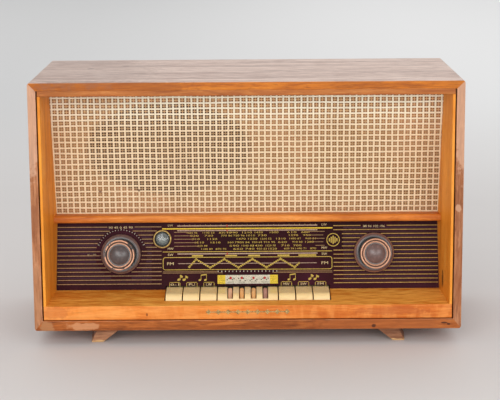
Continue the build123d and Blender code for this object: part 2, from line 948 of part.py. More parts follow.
for number, x in enumerate(wheel_centres, start=1):
    save(tone_wheel(x), f"tone_wheel_{number}")

# ---------------------------------------------------------------------- knobs
trim_seat = knob_length
cap_shoulder = cap_height - 4.9
skirt_radius = knob_radius + 1.2


def knob_profile(x, foot):
    """Half section of a knob's body, from the given height over the glass."""
    with BuildSketch(turning_plane(x, knob_rise)) as profile:
        with BuildLine():
            Polyline(
                (bore, foot),
                (knob_radius + 0.4, foot),
                (knob_radius + 0.4, ring_height + 1.0),
                (knob_radius - 0.2, trim_seat),
                (cap_radius, trim_seat),
                (cap_radius, cap_shoulder),
            )
            ThreePointArc(
                (cap_radius, cap_shoulder),
                dome_middle(cap_radius, cap_shoulder, cap_height),
                (0, cap_height),
            )
            Polyline(
                (0, cap_height), (0, knob_length - 2.0), (bore, knob_length - 2.0), (bore, foot)
            )
        make_face()
    return profile.sketch


def ring_profile(x):
    """Half section of the broad ring at a knob's foot."""
    with BuildSketch(turning_plane(x, knob_rise)) as profile:
        with BuildLine():
            Polyline(
                (bore, ring_lift),
                (ring_radius, ring_lift),
                (ring_radius, ring_height - 4.5),
            )
            ThreePointArc(
                (ring_radius, ring_height - 4.5),
                (ring_radius - 1.6, ring_height - 1.4),
                (skirt_radius + 1.5, ring_height),
            )
            Polyline(
                (skirt_radius + 1.5, ring_height),
                (skirt_radius, ring_height),
                (skirt_radius, ring_height / 2),
                (bore, ring_height / 2),
                (bore, ring_lift),
            )
        make_face()
    return profile.sketch


with BuildPart() as volume_knob:
    revolve(
        knob_profile(-knob_x, ring_height / 2 + knob_gap), axis=dial_axis(-knob_x, knob_rise)
    )
save(volume_knob, "volume_knob")

with BuildPart() as tuning_knob:
    revolve(knob_profile(knob_x, ring_height / 2), axis=dial_axis(knob_x, knob_rise))
    revolve(ring_profile(knob_x), axis=dial_axis(knob_x, knob_rise))
save(tuning_knob, "tuning_knob")

with BuildPart() as antenna_ring:
    revolve(ring_profile(-knob_x), axis=dial_axis(-knob_x, knob_rise))
    with BuildSketch(dial_plane.offset(-tube_end)):
        with Locations((-knob_x, knob_rise)):
            Circle(tube_radius)
            Circle(bore, mode=Mode.SUBTRACT)
    extrude(amount=tube_end + ring_lift + 1.0)
save(antenna_ring, "antenna_ring")


def knob_trim(x):
    """Dished brass ring let into the front of a knob."""
    rim = knob_radius - 0.2
    dish = trim_seat + 1.2
    with BuildPart() as trim:
        with BuildSketch(turning_plane(x, knob_rise)):
            with BuildLine():
                Polyline(
                    (cap_radius + 0.3, trim_seat),
                    (rim, trim_seat),
                    (rim, trim_height - 1.2),
                )
                ThreePointArc(
                    (rim, trim_height - 1.2),
                    (rim - 0.9, trim_height),
                    (rim - 2.2, trim_height - 0.6),
                )
                Polyline(
                    (rim - 2.2, trim_height - 0.6),
                    (rim - 4.6, dish),
                    (cap_radius + 3.2, dish),
                )
                ThreePointArc(
                    (cap_radius + 3.2, dish),
                    (cap_radius + 2.5, dish + 1.1),
                    (cap_radius + 1.8, dish),
                )
                Polyline(
                    (cap_radius + 1.8, dish),
                    (cap_radius + 0.3, dish),
                    (cap_radius + 0.3, trim_seat),
                )
            make_face()
        revolve(axis=dial_axis(x, knob_rise))
    return trim


save(knob_trim(-knob_x), "volume_knob_trim")
save(knob_trim(knob_x), "tuning_knob_trim")

shaft_front = knob_length - 2.0
pot_back = -(backplate_gap + backplate_thickness + pot_length)
shaft_back = pot_back + 3.0

with BuildPart() as volume_shaft:
    with BuildSketch(dial_plane.offset(shaft_back)):
        with Locations((-knob_x, knob_rise)):
            Circle(shaft_radius)
    extrude(amount=shaft_front - shaft_back)
save(volume_shaft, "volume_shaft")

with BuildPart() as volume_control:
    with BuildSketch(dial_plane.offset(pot_back)):
        with Locations((-knob_x, knob_rise)):
            Circle(pot_radius)
    extrude(amount=pot_length)
    with BuildSketch(dial_plane.offset(pot_back + pot_length)):
        with Locations((-knob_x, knob_rise)):
            Circle(pot_bush_radius)
    extrude(amount=pot_bush_front - pot_back - pot_length)
    with BuildSketch(dial_plane.offset(pot_back + 2.0)):
        with Locations((-knob_x, knob_rise)):
            Circle(bore)
    extrude(amount=backplate_gap + pot_length, mode=Mode.SUBTRACT)
save(volume_control, "volume_control")

# ------------------------------------------------------------ tuning mechanism
spindle_front = -(backplate_gap + backplate_thickness + 1.5)
spindle_length = 6.0
flywheel_front = spindle_front - spindle_length

with BuildPart() as tuning_shaft:
    with BuildSketch(dial_plane.offset(flywheel_front - flywheel_thickness)):
        with Locations((knob_x, knob_rise)):
            Circle(shaft_radius)
    extrude(amount=shaft_front - flywheel_front + flywheel_thickness)
    with BuildSketch(dial_plane.offset(flywheel_front)):
        with Locations((knob_x, knob_rise)):
            Circle(spindle_radius)
    extrude(amount=spindle_length)
    with BuildSketch(dial_plane.offset(flywheel_front)):
        with Locations((knob_x, knob_rise)):
            Circle(flywheel_radius)
    extrude(amount=-flywheel_thickness)
    flywheel_rims = tuning_shaft.edges().filter_by(GeomType.CIRCLE).filter_by(
        lambda edge: abs(edge.radius - flywheel_radius) < 0.01
    )
    chamfer(flywheel_rims, length=1.0)
save(tuning_shaft, "tuning_shaft")

drum_axis = Axis((drum_x, 0, at_height(drum_height)), (0, 1, 0))
drum_groove = 1.4
window_count = 5
window_ring = 0.6 * drum_radius
window_radius = 0.22 * drum_radius

with BuildPart() as tuning_drum:
    with BuildSketch(front_plane(drum_front)):
        with Locations((drum_x, at_height(drum_height))):
            Circle(drum_radius + drum_groove)
            Circle(shaft_radius, mode=Mode.SUBTRACT)
            with PolarLocations(window_ring, window_count):
                Circle(window_radius, mode=Mode.SUBTRACT)
    extrude(amount=-drum_thickness)
    with BuildSketch(Plane.YZ.offset(drum_x)):
        with Locations(
            (at_depth(drum_front + drum_thickness / 2), at_height(drum_height) + drum_radius + 1.0)
        ):
            Rectangle(2 * drum_groove, 2.0)
    revolve(axis=drum_axis, mode=Mode.SUBTRACT)
save(tuning_drum, "tuning_drum")

capacitor_back = capacitor_front + capacitor_length
plate_pitch = (capacitor_length - 2 * sheet) / rotor_plates
stator_reach = 20.0
plate = 1.0

with BuildPart() as capacitor_frame:
    with BuildSketch(floor_plane(deck_height)):
        with Locations((drum_x, at_depth(capacitor_front + capacitor_length / 2))):
            Rectangle(2 * capacitor_half_width, capacitor_length)
    extrude(amount=sheet)
    for distance in (capacitor_front, capacitor_back - sheet):
        with BuildSketch(front_plane(distance)):
            with Locations((drum_x, at_height(deck_height + capacitor_height / 2))):
                Rectangle(2 * capacitor_half_width, capacitor_height)
            with Locations((drum_x, at_height(drum_height))):
                Circle(bore, mode=Mode.SUBTRACT)
        extrude(amount=-sheet)
    with BuildSketch(floor_plane(deck_height)):
        with Locations(
            (
                drum_x - capacitor_half_width + sheet / 2,
                at_depth(capacitor_front + capacitor_length / 2),
            )
        ):
            Rectangle(sheet, capacitor_length)
    extrude(amount=capacitor_height)
    for index in range(1, rotor_plates):
        with BuildSketch(front_plane(capacitor_front + sheet + index * plate_pitch - plate / 2)):
            with BuildLine():
                Polyline(
                    (drum_x - capacitor_half_width, at_height(drum_height - rotor_radius + 2)),
                    (drum_x - shaft_radius - 1.5, at_height(drum_height - rotor_radius + 2)),
                    (drum_x - shaft_radius - 1.5, at_height(drum_height + rotor_radius - 2)),
                    (drum_x - capacitor_half_width, at_height(drum_height + rotor_radius - 2)),
                    close=True,
                )
            make_face()
        extrude(amount=-plate)
save(capacitor_frame, "capacitor_frame")

with BuildPart() as capacitor_rotor:
    with BuildSketch(front_plane(drum_front)):
        with Locations((drum_x, at_height(drum_height))):
            Circle(shaft_radius)
    extrude(amount=-(capacitor_back + 2.0 - drum_front))
    for index in range(rotor_plates):
        middle = capacitor_front + sheet + (index + 0.5) * plate_pitch
        with BuildSketch(front_plane(middle - plate / 2)):
            with Locations((drum_x, at_height(drum_height))):
                Circle(rotor_radius)
            with Locations((drum_x, at_height(drum_height) - rotor_radius)):
                Rectangle(2 * rotor_radius, 2 * rotor_radius, mode=Mode.SUBTRACT)
        extrude(amount=-plate)
save(capacitor_rotor, "capacitor_rotor")

# -------------------------------------------------------------------- chassis
ferrite_post_radius = 7.0
ferrite_post_top = deck_height + 32.0
ferrite_pin_foot = deck_height + 6.0

with BuildPart() as chassis_deck:
    with BuildSketch(floor_plane(deck_height - sheet)):
        with Locations((0, at_depth((deck_front + deck_back) / 2))):
            Rectangle(2 * deck_half_width, deck_back - deck_front)
    extrude(amount=sheet)
    with BuildSketch(floor_plane(deck_height)):
        with Locations((ferrite_x, at_depth(ferrite_depth))):
            Circle(ferrite_post_radius)
    extrude(amount=ferrite_post_top - deck_height)
    with BuildSketch(floor_plane(ferrite_pin_foot - 0.5)):
        with Locations((ferrite_x, at_depth(ferrite_depth))):
            Circle(bore)
    extrude(amount=ferrite_post_top, mode=Mode.SUBTRACT)
save(chassis_deck, "chassis_deck")


def apron(distance):
    """Upright plate that carries an edge of the deck on the cabinet's floor."""
    with BuildPart() as wall:
        with BuildSketch(front_plane(distance)):
            with Locations((0, at_height((bottom_board + deck_height - sheet) / 2))):
                Rectangle(2 * deck_half_width, deck_height - sheet - bottom_board)
        extrude(amount=-sheet)
    return wall


save(apron(deck_front), "chassis_front")
save(apron(deck_back - sheet), "chassis_rear")

ferrite_boss = 10.0
turntable_radius = 20.0
turntable_thickness = 5.0
neck_radius = 6.0
clamp_width = 26.0

with BuildPart() as ferrite_holder:
    with BuildSketch(floor_plane(ferrite_pin_foot)):
        with Locations((ferrite_x, at_depth(ferrite_depth))):
            Circle(shaft_radius)
    extrude(amount=ferrite_post_top + 1.0 - ferrite_pin_foot)
    with BuildSketch(floor_plane(ferrite_post_top + 0.5)):
        with Locations((ferrite_x, at_depth(ferrite_depth))):
            Circle(turntable_radius)
    extrude(amount=turntable_thickness)
    with BuildSketch(floor_plane(ferrite_post_top + turntable_thickness)):
        with Locations((ferrite_x, at_depth(ferrite_depth))):
            Circle(neck_radius)
    extrude(amount=ferrite_height - ferrite_post_top - turntable_thickness)
    with BuildSketch(floor_plane(ferrite_height - ferrite_boss)):
        with Locations((ferrite_x, at_depth(ferrite_depth))):
            RectangleRounded(clamp_width, 2 * ferrite_boss, 2.0)
    extrude(amount=2 * ferrite_boss)
    with BuildSketch(Plane.YZ.offset(ferrite_x)):
        with Locations(side_point(ferrite_depth, ferrite_height)):
            Circle(ferrite_radius)
    extrude(amount=ferrite_half_length, both=True, mode=Mode.SUBTRACT)
save(ferrite_holder, "ferrite_holder")

with BuildPart() as ferrite_rod:
    with BuildSketch(Plane.YZ.offset(ferrite_x)):
        with Locations(side_point(ferrite_depth, ferrite_height)):
            Circle(ferrite_radius)
    extrude(amount=ferrite_half_length, both=True)
save(ferrite_rod, "ferrite_rod")


def transformer(x, distance, width, length, height):
    """A laminated core standing on the deck, with its winding showing front and back."""
    with BuildPart() as core:
        with BuildSketch(floor_plane(deck_height)):
            with Locations((x, at_depth(distance))):
                Rectangle(width, length)
        extrude(amount=height)
        with BuildSketch(floor_plane(deck_height + height * 0.2)):
            with Locations((x, at_depth(distance))):
                RectangleRounded(width * 0.6, length * 1.5, length * 0.15)
        extrude(amount=height * 0.6)
    return core


mains_x, mains_depth = 215.0, 205.0
mains_width, mains_length, mains_height = 72.0, 44.0, 62.0
output_x, output_depth = -232.0, 165.0
output_width, output_length, output_height = 46.0, 28.0, 40.0
save(
    transformer(mains_x, mains_depth, mains_width, mains_length, mains_height),
    "mains_transformer",
)
save(
    transformer(output_x, output_depth, output_width, output_length, output_height),
    "output_transformer",
)

valve_places = [(-40.0, 212.0), (0.0, 222.0), (40.0, 212.0), (85.0, 224.0), (128.0, 222.0)]
valve_radius = 11.0
valve_length = 52.0
valve_dome = 9.0
valve_socket_radius = 13.0
valve_socket_height = 7.0

with BuildPart() as valves:
    for x, distance in valve_places:
        with BuildSketch(floor_plane(deck_height)):
            with Locations((x, at_depth(distance))):
                Circle(valve_socket_radius)
        extrude(amount=valve_socket_height)
        with BuildSketch(Plane.XZ.offset(-at_depth(distance))):
            foot_z = at_height(deck_height + valve_socket_height)
            shoulder_z = foot_z + valve_length
            with BuildLine():
                Polyline((x, foot_z), (x + valve_radius, foot_z), (x + valve_radius, shoulder_z))
                dome_x, dome_z = dome_middle(valve_radius, shoulder_z, shoulder_z + valve_dome)
                ThreePointArc(
                    (x + valve_radius, shoulder_z),
                    (x + dome_x, dome_z),
                    (x, shoulder_z + valve_dome),
                )
                Line((x, shoulder_z + valve_dome), (x, foot_z))
            make_face()
        revolve(axis=Axis((x, at_depth(distance), 0), (0, 0, 1)))
save(valves, "valves")

# ----------------------------------------------------------------------- back
panel_half_width = rebate_half_width - back_clearance
panel_height = inner_height + 2 * (rebate_width - back_clearance)
hatch_half_width = 62.0
hatch_x = -60.0
hatch_low = 22.0
hatch_high = 58.0
gland_x = 214.0
gland_height = 40.0
gland_neck = 7.0
vent_middle = 212.0
vent_columns = 11
vent_column_pitch = 46.0
vent_row_pitch = 24.0
vent_rows = 9
vent_length = 26.0
vent_width = 4.0

with BuildPart() as back_panel:
    with BuildSketch(front_plane(back_face)):
        with Locations((0, middle_height)):
            Rectangle(2 * panel_half_width, panel_height)
        with Locations((hatch_x, at_height((hatch_low + hatch_high) / 2))):
            RectangleRounded(
                2 * hatch_half_width, hatch_high - hatch_low, 4.0, mode=Mode.SUBTRACT
            )
        with Locations((gland_x, at_height(gland_height))):
            Circle(gland_neck, mode=Mode.SUBTRACT)
        with Locations(*screw_places):
            Circle(screw_radius + 0.1, mode=Mode.SUBTRACT)
        with Locations((0, at_height(vent_middle))):
            with GridLocations(vent_column_pitch, vent_row_pitch, vent_columns, vent_rows):
                SlotOverall(vent_length, vent_width, mode=Mode.SUBTRACT)
    extrude(amount=-back_thickness)
save(back_panel, "back_panel")

back_outer = back_face + back_thickness

with BuildPart() as panel_screws:
    with BuildSketch(front_plane(back_outer)):
        with Locations(*screw_places):
            Circle(screw_head)
    extrude(amount=-screw_head_thickness)
    with BuildSketch(front_plane(back_outer)):
        with Locations(*screw_places):
            Circle(screw_radius)
    extrude(amount=screw_length)
    flange_face = basket_front - flange_thickness
    with BuildSketch(grille_plane.offset(flange_face)):
        with Locations(*flange_bolts):
            Circle(screw_head)
    extrude(amount=-screw_head_thickness)
    with BuildSketch(grille_plane.offset(flange_face)):
        with Locations(*flange_bolts):
            Circle(screw_radius)
    extrude(amount=flange_bolt_depth)
save(panel_screws, "panel_screws")

socket_offsets = (-44.0, -25.0, 0.0, 25.0, 44.0)
socket_row = at_height((hatch_low + hatch_high) / 2)
socket_places = [(hatch_x + offset, socket_row) for offset in socket_offsets]
strip_side_margin = 3.0
strip_edge_margin = 4.0
strip_corner = 3.0

with BuildPart() as socket_strip:
    with BuildSketch(front_plane(deck_back)):
        with Locations((hatch_x, socket_row)):
            RectangleRounded(
                2 * (hatch_half_width - strip_side_margin),
                hatch_high - hatch_low - 2 * strip_edge_margin,
                strip_corner,
            )
        with Locations(*socket_places):
            Circle(socket_radius, mode=Mode.SUBTRACT)
    extrude(amount=-socket_strip_thickness)
save(socket_strip, "socket_strip")

gland_flange = gland_neck + 2.5
flange_depth = 3.0

with BuildPart() as mains_gland:
    with BuildSketch(front_plane(back_face)):
        with Locations((gland_x, at_height(gland_height))):
            Circle(gland_neck)
    extrude(amount=-back_thickness)
    with BuildSketch(front_plane(back_face)):
        with Locations((gland_x, at_height(gland_height))):
            Circle(gland_flange)
    extrude(amount=flange_depth)
    with BuildSketch(front_plane(back_outer)):
        with Locations((gland_x, at_height(gland_height))):
            Circle(gland_flange)
    extrude(amount=-flange_depth)
    with BuildSketch(front_plane(back_face - 2 * flange_depth)):
        with Locations((gland_x, at_height(gland_height))):
            Circle(cord_radius)
    extrude(amount=-overall_depth, mode=Mode.SUBTRACT)
save(mains_gland, "mains_gland")
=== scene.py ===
import json
import math
import random

import bmesh
import bpy
from mathutils import Matrix, Vector, noise


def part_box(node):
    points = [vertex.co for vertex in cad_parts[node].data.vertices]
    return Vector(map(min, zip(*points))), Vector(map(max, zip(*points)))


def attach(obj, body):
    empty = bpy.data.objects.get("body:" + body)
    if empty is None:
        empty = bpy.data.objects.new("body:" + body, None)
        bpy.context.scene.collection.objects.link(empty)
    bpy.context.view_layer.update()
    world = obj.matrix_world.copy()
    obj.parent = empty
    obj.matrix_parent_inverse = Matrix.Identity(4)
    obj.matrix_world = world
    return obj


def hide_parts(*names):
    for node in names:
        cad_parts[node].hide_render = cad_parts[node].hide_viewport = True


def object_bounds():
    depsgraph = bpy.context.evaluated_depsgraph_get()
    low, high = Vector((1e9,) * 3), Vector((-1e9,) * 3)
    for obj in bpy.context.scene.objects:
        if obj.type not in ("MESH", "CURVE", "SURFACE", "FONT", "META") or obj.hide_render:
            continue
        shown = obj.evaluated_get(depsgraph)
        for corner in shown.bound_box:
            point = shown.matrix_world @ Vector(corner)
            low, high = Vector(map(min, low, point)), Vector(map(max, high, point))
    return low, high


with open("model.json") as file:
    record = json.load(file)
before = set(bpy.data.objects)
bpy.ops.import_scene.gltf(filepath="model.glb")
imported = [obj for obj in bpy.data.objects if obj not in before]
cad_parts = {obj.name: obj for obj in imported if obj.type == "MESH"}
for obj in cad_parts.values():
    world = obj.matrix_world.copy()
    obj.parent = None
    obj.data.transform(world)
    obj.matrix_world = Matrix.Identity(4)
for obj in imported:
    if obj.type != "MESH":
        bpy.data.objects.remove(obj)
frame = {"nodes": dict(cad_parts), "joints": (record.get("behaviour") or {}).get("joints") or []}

# The tabletop radio's looks, in metres, in the frame of its CAD model: X right, Y back, Z up.
cad_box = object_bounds()
NODES = frame["nodes"]
JOINTS = {joint["name"]: joint for joint in frame["joints"]}
MM = 0.001
scene = bpy.context.scene


# ---- planes
class Panel:
    """A leaning plane: x to the right, v up its slope, w out of its face."""

    def __init__(self, origin, out):
        self.out = Vector(out).normalized()
        self.right = Vector((1, 0, 0))
        self.up = self.out.cross(self.right)
        self.origin = Vector(origin)

    def at(self, x, v, w=0.0):
        return self.origin + self.right * x + self.up * v + self.out * w

    def matrix(self, x=0.0, v=0.0, w=0.0):
        place = Matrix((self.right, self.up, self.out)).transposed().to_4x4()
        place.translation = self.at(x, v, w)
        return place


KNOB_X = abs(JOINTS["volume_turn"]["pos_m"][0])
KNOB_RISE = 55 * MM
dial_out = -Vector(JOINTS["volume_turn"]["axis"])
DIAL = Panel(JOINTS["volume_turn"]["pos_m"], dial_out)
DIAL.origin = DIAL.at(KNOB_X, -KNOB_RISE)
rail_low, rail_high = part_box("centre_rail")
GRILLE_LEAN = math.radians(8)
GRILLE = Panel(
    (0, rail_high.y, rail_low.z), (0, -math.cos(GRILLE_LEAN), -math.sin(GRILLE_LEAN))
)
# The magic eye's place on the dial, across it and up it, in millimetres.
EYE = (-130.0, 77.4)


# ---- materials
def tone(red, green, blue):
    """A linear colour from the red, green and blue of a paint chart."""
    linear = []
    for part in (red, green, blue):
        share = part / 255
        linear.append(share / 12.92 if share <= 0.04045 else ((share + 0.055) / 1.055) ** 2.4)
    return (*linear, 1.0)


class Nodes:
    """Short calls for the nodes of a tree."""

    def __init__(self, tree):
        self.tree = tree

    def put(self, socket, value):
        if isinstance(value, bpy.types.NodeSocket):
            self.tree.links.new(value, socket)
        else:
            socket.default_value = value

    def new(self, kind, **settings):
        node = self.tree.nodes.new(kind)
        for key, value in settings.items():
            setattr(node, key, value)
        return node

    def fill(self, node, *places, **named):
        """Gives a node's inputs, by place or by name, values or links; returns its outputs."""
        for index, value in enumerate(places):
            self.put(node.inputs[index], value)
        for key, value in named.items():
            self.put(node.inputs[key.replace("_", " ")], value)
        return node.outputs

    def vector(self, operation, *values):
        return self.fill(self.new("ShaderNodeVectorMath", operation=operation), *values)

    def noise(self, vector, scale, detail=3.0, rough=0.5, bend=0.0):
        node = self.new("ShaderNodeTexNoise")
        self.fill(node, Vector=vector, Scale=scale, Detail=detail, Roughness=rough, Distortion=bend)
        return node.outputs["Fac"]

    def ramp(self, factor, stops):
        node = self.new("ShaderNodeValToRGB")
        self.put(node.inputs["Fac"], factor)
        points = node.color_ramp.elements
        while len(points) < len(stops):
            points.new(0.5)
        for point, (position, colour) in zip(points, stops):
            point.position = position
            point.color = colour
        return node.outputs["Color"]

    def math(self, operation, first, second=0.0):
        return self.fill(self.new("ShaderNodeMath", operation=operation), first, second)[0]

    def span(self, value, low, high, start=0.0, end=1.0, step="SMOOTHSTEP"):
        """A step from one level to another as a value crosses a range."""
        node = self.new("ShaderNodeMapRange", interpolation_type=step)
        limits = {"From_Min": low, "From_Max": high, "To_Min": start, "To_Max": end}
        return self.fill(node, Value=value, **limits)["Result"]

    def mix(self, factor, first, second):
        node = self.new("ShaderNodeMix", data_type="RGBA")
        for index, value in zip((0, 6, 7), (factor, first, second)):
            self.put(node.inputs[index], value)
        return node.outputs[2]

    def axes(self, vector):
        return self.fill(self.new("ShaderNodeSeparateXYZ"), vector)


class Graph(Nodes):
    """A material and its nodes."""

    def __init__(self, name, **shader):
        self.material = bpy.data.materials.new(name)
        self.material.use_nodes = True
        super().__init__(self.material.node_tree)
        self.shader = self.tree.nodes["Principled BSDF"]
        self.fill(self.shader, **shader)
        self.object = self.new("ShaderNodeTexCoord").outputs["Object"]

    def place(self, scale=(1, 1, 1), offset=(0, 0, 0)):
        node = self.new("ShaderNodeMapping")
        return self.fill(node, Vector=self.object, Scale=scale, Location=offset)["Vector"]

    def normal(self):
        return self.axes(self.new("ShaderNodeNewGeometry").outputs["Normal"])

    def spot(self, centre, size, ragged=0.35, scale=120.0):
        """A blot about a point: 1 inside and 0 outside, with a ragged edge."""
        near = self.place(
            scale=tuple(1 / part for part in size),
            offset=tuple(-c / s for c, s in zip(centre, size)),
        )
        away = self.vector("LENGTH", near)["Value"]
        grain = self.noise(self.object, scale, 3, 0.6)
        ragged_edge = self.math("MULTIPLY", self.math("SUBTRACT", grain, 0.5), ragged * 4)
        reach = self.math("ADD", away, ragged_edge)
        return self.span(reach, 0.75, 1.1, 1.0, 0.0)

    def from_axis(self, centre, axis):
        """Coordinates about a point, and the distance from an axis through it."""
        near = self.place(offset=tuple(-centre))
        along = self.vector("DOT_PRODUCT", near, tuple(axis))["Value"]
        away = self.vector("LENGTH", near)["Value"]
        square = self.math("MULTIPLY", away, away)
        rise = self.math("MULTIPLY", along, along)
        flat = self.math("MAXIMUM", self.math("SUBTRACT", square, rise), 1e-9)
        return near, self.math("POWER", flat, 0.5)

    def bump(self, height, strength, distance):
        node = self.new("ShaderNodeBump")
        return self.fill(node, Height=height, Strength=strength, Distance=distance)["Normal"]

    def finish(self, colour=None, roughness=None, normal=None, metallic=None):
        given = {"Base Color": colour, "Roughness": roughness, "Normal": normal, "Metallic": metallic}
        self.fill(self.shader, **{key: value for key, value in given.items() if value is not None})
        return self.material


def squeeze_by(axis, share):
    """A scale that stretches a texture along one axis."""
    scale = [1.0, 1.0, 1.0]
    scale[axis] = share
    return scale


def wood(
    name, along, tones, pores=0.45, rough=(0.34, 0.52), coat=0.06, blots=(), edge=None,
    shift=0.0, figure=34.0, flame=0.0, top=None, marks=0.55,
):
    """Lacquered wood whose grain runs along one axis: 0, 1 or 2."""
    g = Graph(name, Coat_Weight=coat, Coat_Roughness=0.22, Specular_IOR_Level=0.22)
    squeeze = squeeze_by(along, 0.07)
    warp = g.noise(g.place(offset=(shift, shift, 0)), 7.0, 2, 0.5)
    straight = g.place(scale=squeeze, offset=(shift, shift * 0.7, shift * 0.3))
    run = g.vector("MULTIPLY_ADD", warp, (0.018, 0.018, 0.018), straight)["Vector"]
    rings = g.noise(run, figure, 5, 0.58, 0.9)
    streaks = g.noise(run, figure * 7, 4, 0.6, 0.2)
    fibres = g.noise(run, figure * 38, 3, 0.6)
    flecks = g.noise(g.place(scale=squeeze_by(along, 0.1), offset=(shift, 0, shift)), 430, 3, 0.6)
    grain = g.math("ADD", g.math("MULTIPLY", rings, 0.62), g.math("MULTIPLY", streaks, 0.38))
    dark, middle, light, glow = tones
    colour = g.ramp(grain, [(0.34, dark), (0.45, middle), (0.54, light), (0.66, glow)])
    patches = g.noise(g.object, 5.5, 3, 0.55)
    colour = g.mix(g.span(patches, 0.42, 0.72, 0.0, 0.45), colour, dark)
    smudge = g.noise(g.place(scale=squeeze_by(along, 0.25), offset=(0, shift, 0)), 55, 4, 0.65, 0.8)
    colour = g.mix(g.span(smudge, 0.56, 0.74, 0.0, marks), colour, dark)
    if flame:
        curl = g.noise(g.place(scale=squeeze_by(along, 3.2)), 26, 3, 0.55, 0.6)
        colour = g.mix(g.span(curl, 0.4, 0.66, 0.0, flame), colour, glow)
    dashes = squeeze_by(along, 0.045)
    pore = g.noise(g.place(scale=dashes, offset=(shift, 0, shift)), 1100, 2, 0.5)
    pore_mask = g.span(pore, 0.60, 0.72, 0.0, pores)
    colour = g.mix(g.span(flecks, 0.52, 0.68, 0.0, pores), colour, dark)
    colour = g.mix(g.span(flecks, 0.46, 0.34, 0.0, 0.3), colour, glow)
    colour = g.mix(pore_mask, colour, tuple(c * 0.28 for c in dark[:3]) + (1.0,))
    colour = g.mix(g.span(fibres, 0.3, 0.75, 0.0, 0.28), colour, dark)
    normals = g.normal()
    # Upward faces take the two top tones instead: painted light and painted reflection on top faces.
    if top:
        layer = g.math("ADD", g.math("MULTIPLY", grain, 0.55), g.math("MULTIPLY", flecks, 0.45))
        colour = g.mix(
            g.span(normals[2], 0.6, 0.9, 0.0, 0.92), colour,
            g.mix(g.span(layer, 0.40, 0.60), *top),
        )
    if edge:
        flat = g.math("MAXIMUM", g.math("ABSOLUTE", normals[0]), g.math("ABSOLUTE", normals[1]))
        flat = g.math("MAXIMUM", flat, g.math("ABSOLUTE", normals[2]))
        rubbed = g.span(flat, 0.985, 0.86, 0.0, 1.0)
        worn = g.span(g.noise(g.object, 34, 4, 0.65), 0.42, 0.62, 0.1, 0.85)
        colour = g.mix(g.math("MULTIPLY", rubbed, worn), colour, edge)
    for centre, size, blot_tone, strength in blots:
        mask = g.math("MULTIPLY", g.spot(centre, size), strength)
        colour = g.mix(mask, colour, blot_tone)
    low, high = rough
    roughness = g.span(g.math("ADD", fibres, g.math("MULTIPLY", patches, 0.6)), 0.5, 1.1, low, high)
    relief = g.math("SUBTRACT", g.math("MULTIPLY", fibres, 0.5), pore_mask)
    return g.finish(colour, roughness, g.bump(relief, 0.35, 0.25 * MM))


def mark(x, z, across, high, colour, strength, deep=0.02):
    """A blot on the cabinet's front face."""
    return (x, cad_box[0][1], z), (across, deep, high), colour, strength


WALNUT = (tone(112, 54, 20), tone(162, 86, 34), tone(194, 110, 48), tone(216, 136, 70))
EDGING = (tone(124, 60, 6), tone(174, 92, 10), tone(204, 114, 18), tone(222, 136, 36))
MAPLE = (tone(200, 112, 26), tone(236, 146, 42), tone(248, 162, 56), tone(255, 184, 82))
SILL = (tone(184, 88, 24), tone(222, 124, 46), tone(240, 146, 62), tone(250, 170, 90))
RAIL = (tone(160, 78, 18), tone(204, 114, 40), tone(224, 134, 52), tone(240, 160, 82))
TRIM = (tone(120, 60, 22), tone(168, 94, 40), tone(192, 116, 52), tone(214, 142, 76))
DEEP = tone(70, 34, 20)
# Tones for the cabinet top's upward face: painted reflection of the bright backdrop.
TOP_FACE_REFLECTION = (tone(176, 146, 134), tone(238, 214, 200))

top_wood = wood(
    "walnut_top", 0, EDGING, pores=0.5, edge=tone(206, 140, 88), top=TOP_FACE_REFLECTION, coat=0.12,
    blots=[
        ((-0.243, 0.028, 0.394), (0.006, 0.004, 0.004), DEEP, 0.8),
        ((-0.238, 0.066, 0.394), (0.008, 0.003, 0.004), DEEP, 0.5),
        ((-0.190, 0.060, 0.394), (0.006, 0.004, 0.004), DEEP, 0.5),
        ((-0.20, -0.142, 0.388), (0.13, 0.02, 0.012), tone(146, 76, 28), 0.4),
        # a broad darker patch on the top's left: painted shade, where the painted reflection is weaker
        ((-0.27, 0.0, 0.394), (0.14, 0.16, 0.02), tone(128, 100, 86), 0.24),
    ],
)
bottom_wood = wood(
    "walnut_bottom", 0, WALNUT, pores=0.6, edge=tone(206, 150, 108), shift=0.37,
    blots=[
        mark(-0.245, 0.029, 0.026, 0.006, tone(212, 152, 108), 0.65),
        mark(-0.299, 0.027, 0.010, 0.012, tone(178, 126, 84), 0.7),
        mark(0.200, 0.030, 0.11, 0.016, tone(178, 98, 46), 0.5),
        mark(0.187, 0.027, 0.004, 0.003, DEEP, 0.9),
        mark(0.292, 0.031, 0.005, 0.0016, DEEP, 0.9),
        mark(0.299, 0.029, 0.003, 0.0018, DEEP, 0.9),
    ],
)
side_tones = (tone(112, 60, 34), tone(160, 98, 58), tone(190, 126, 84), tone(214, 156, 116))
left_wood = wood(
    "walnut_left", 2, side_tones, pores=0.6, edge=tone(214, 160, 126), shift=0.11,
    blots=[
        mark(-0.314, 0.075, 0.01, 0.05, tone(168, 116, 80), 0.5),
        mark(-0.314, 0.34, 0.012, 0.09, tone(222, 180, 152), 0.5, 0.007),
        mark(-0.314, 0.19, 0.006, 0.03, tone(134, 76, 44), 0.5),
    ],
)
right_wood = wood(
    "walnut_right", 2, side_tones, pores=0.6, edge=tone(206, 140, 100), shift=0.71,
    blots=[
        mark(0.310, 0.205, 0.004, 0.006, tone(214, 168, 136), 0.6),
        mark(0.314, 0.34, 0.012, 0.09, tone(224, 180, 150), 0.5, 0.007),
        mark(0.314, 0.10, 0.007, 0.05, tone(150, 84, 44), 0.45),
    ],
)
foot_wood = wood(
    "walnut_feet", 0, (tone(104, 62, 40), tone(150, 98, 66), tone(176, 122, 86), tone(198, 148, 110)),
    pores=0.5, rough=(0.5, 0.68), coat=0.1, shift=0.53,
    blots=[
        ((side * 0.221, end * 0.118, 0.0), (0.022, 0.02, 0.0034), tone(222, 178, 122), 0.85)
        for side in (-1, 1)
        for end in (-1, 1)
    ],
)
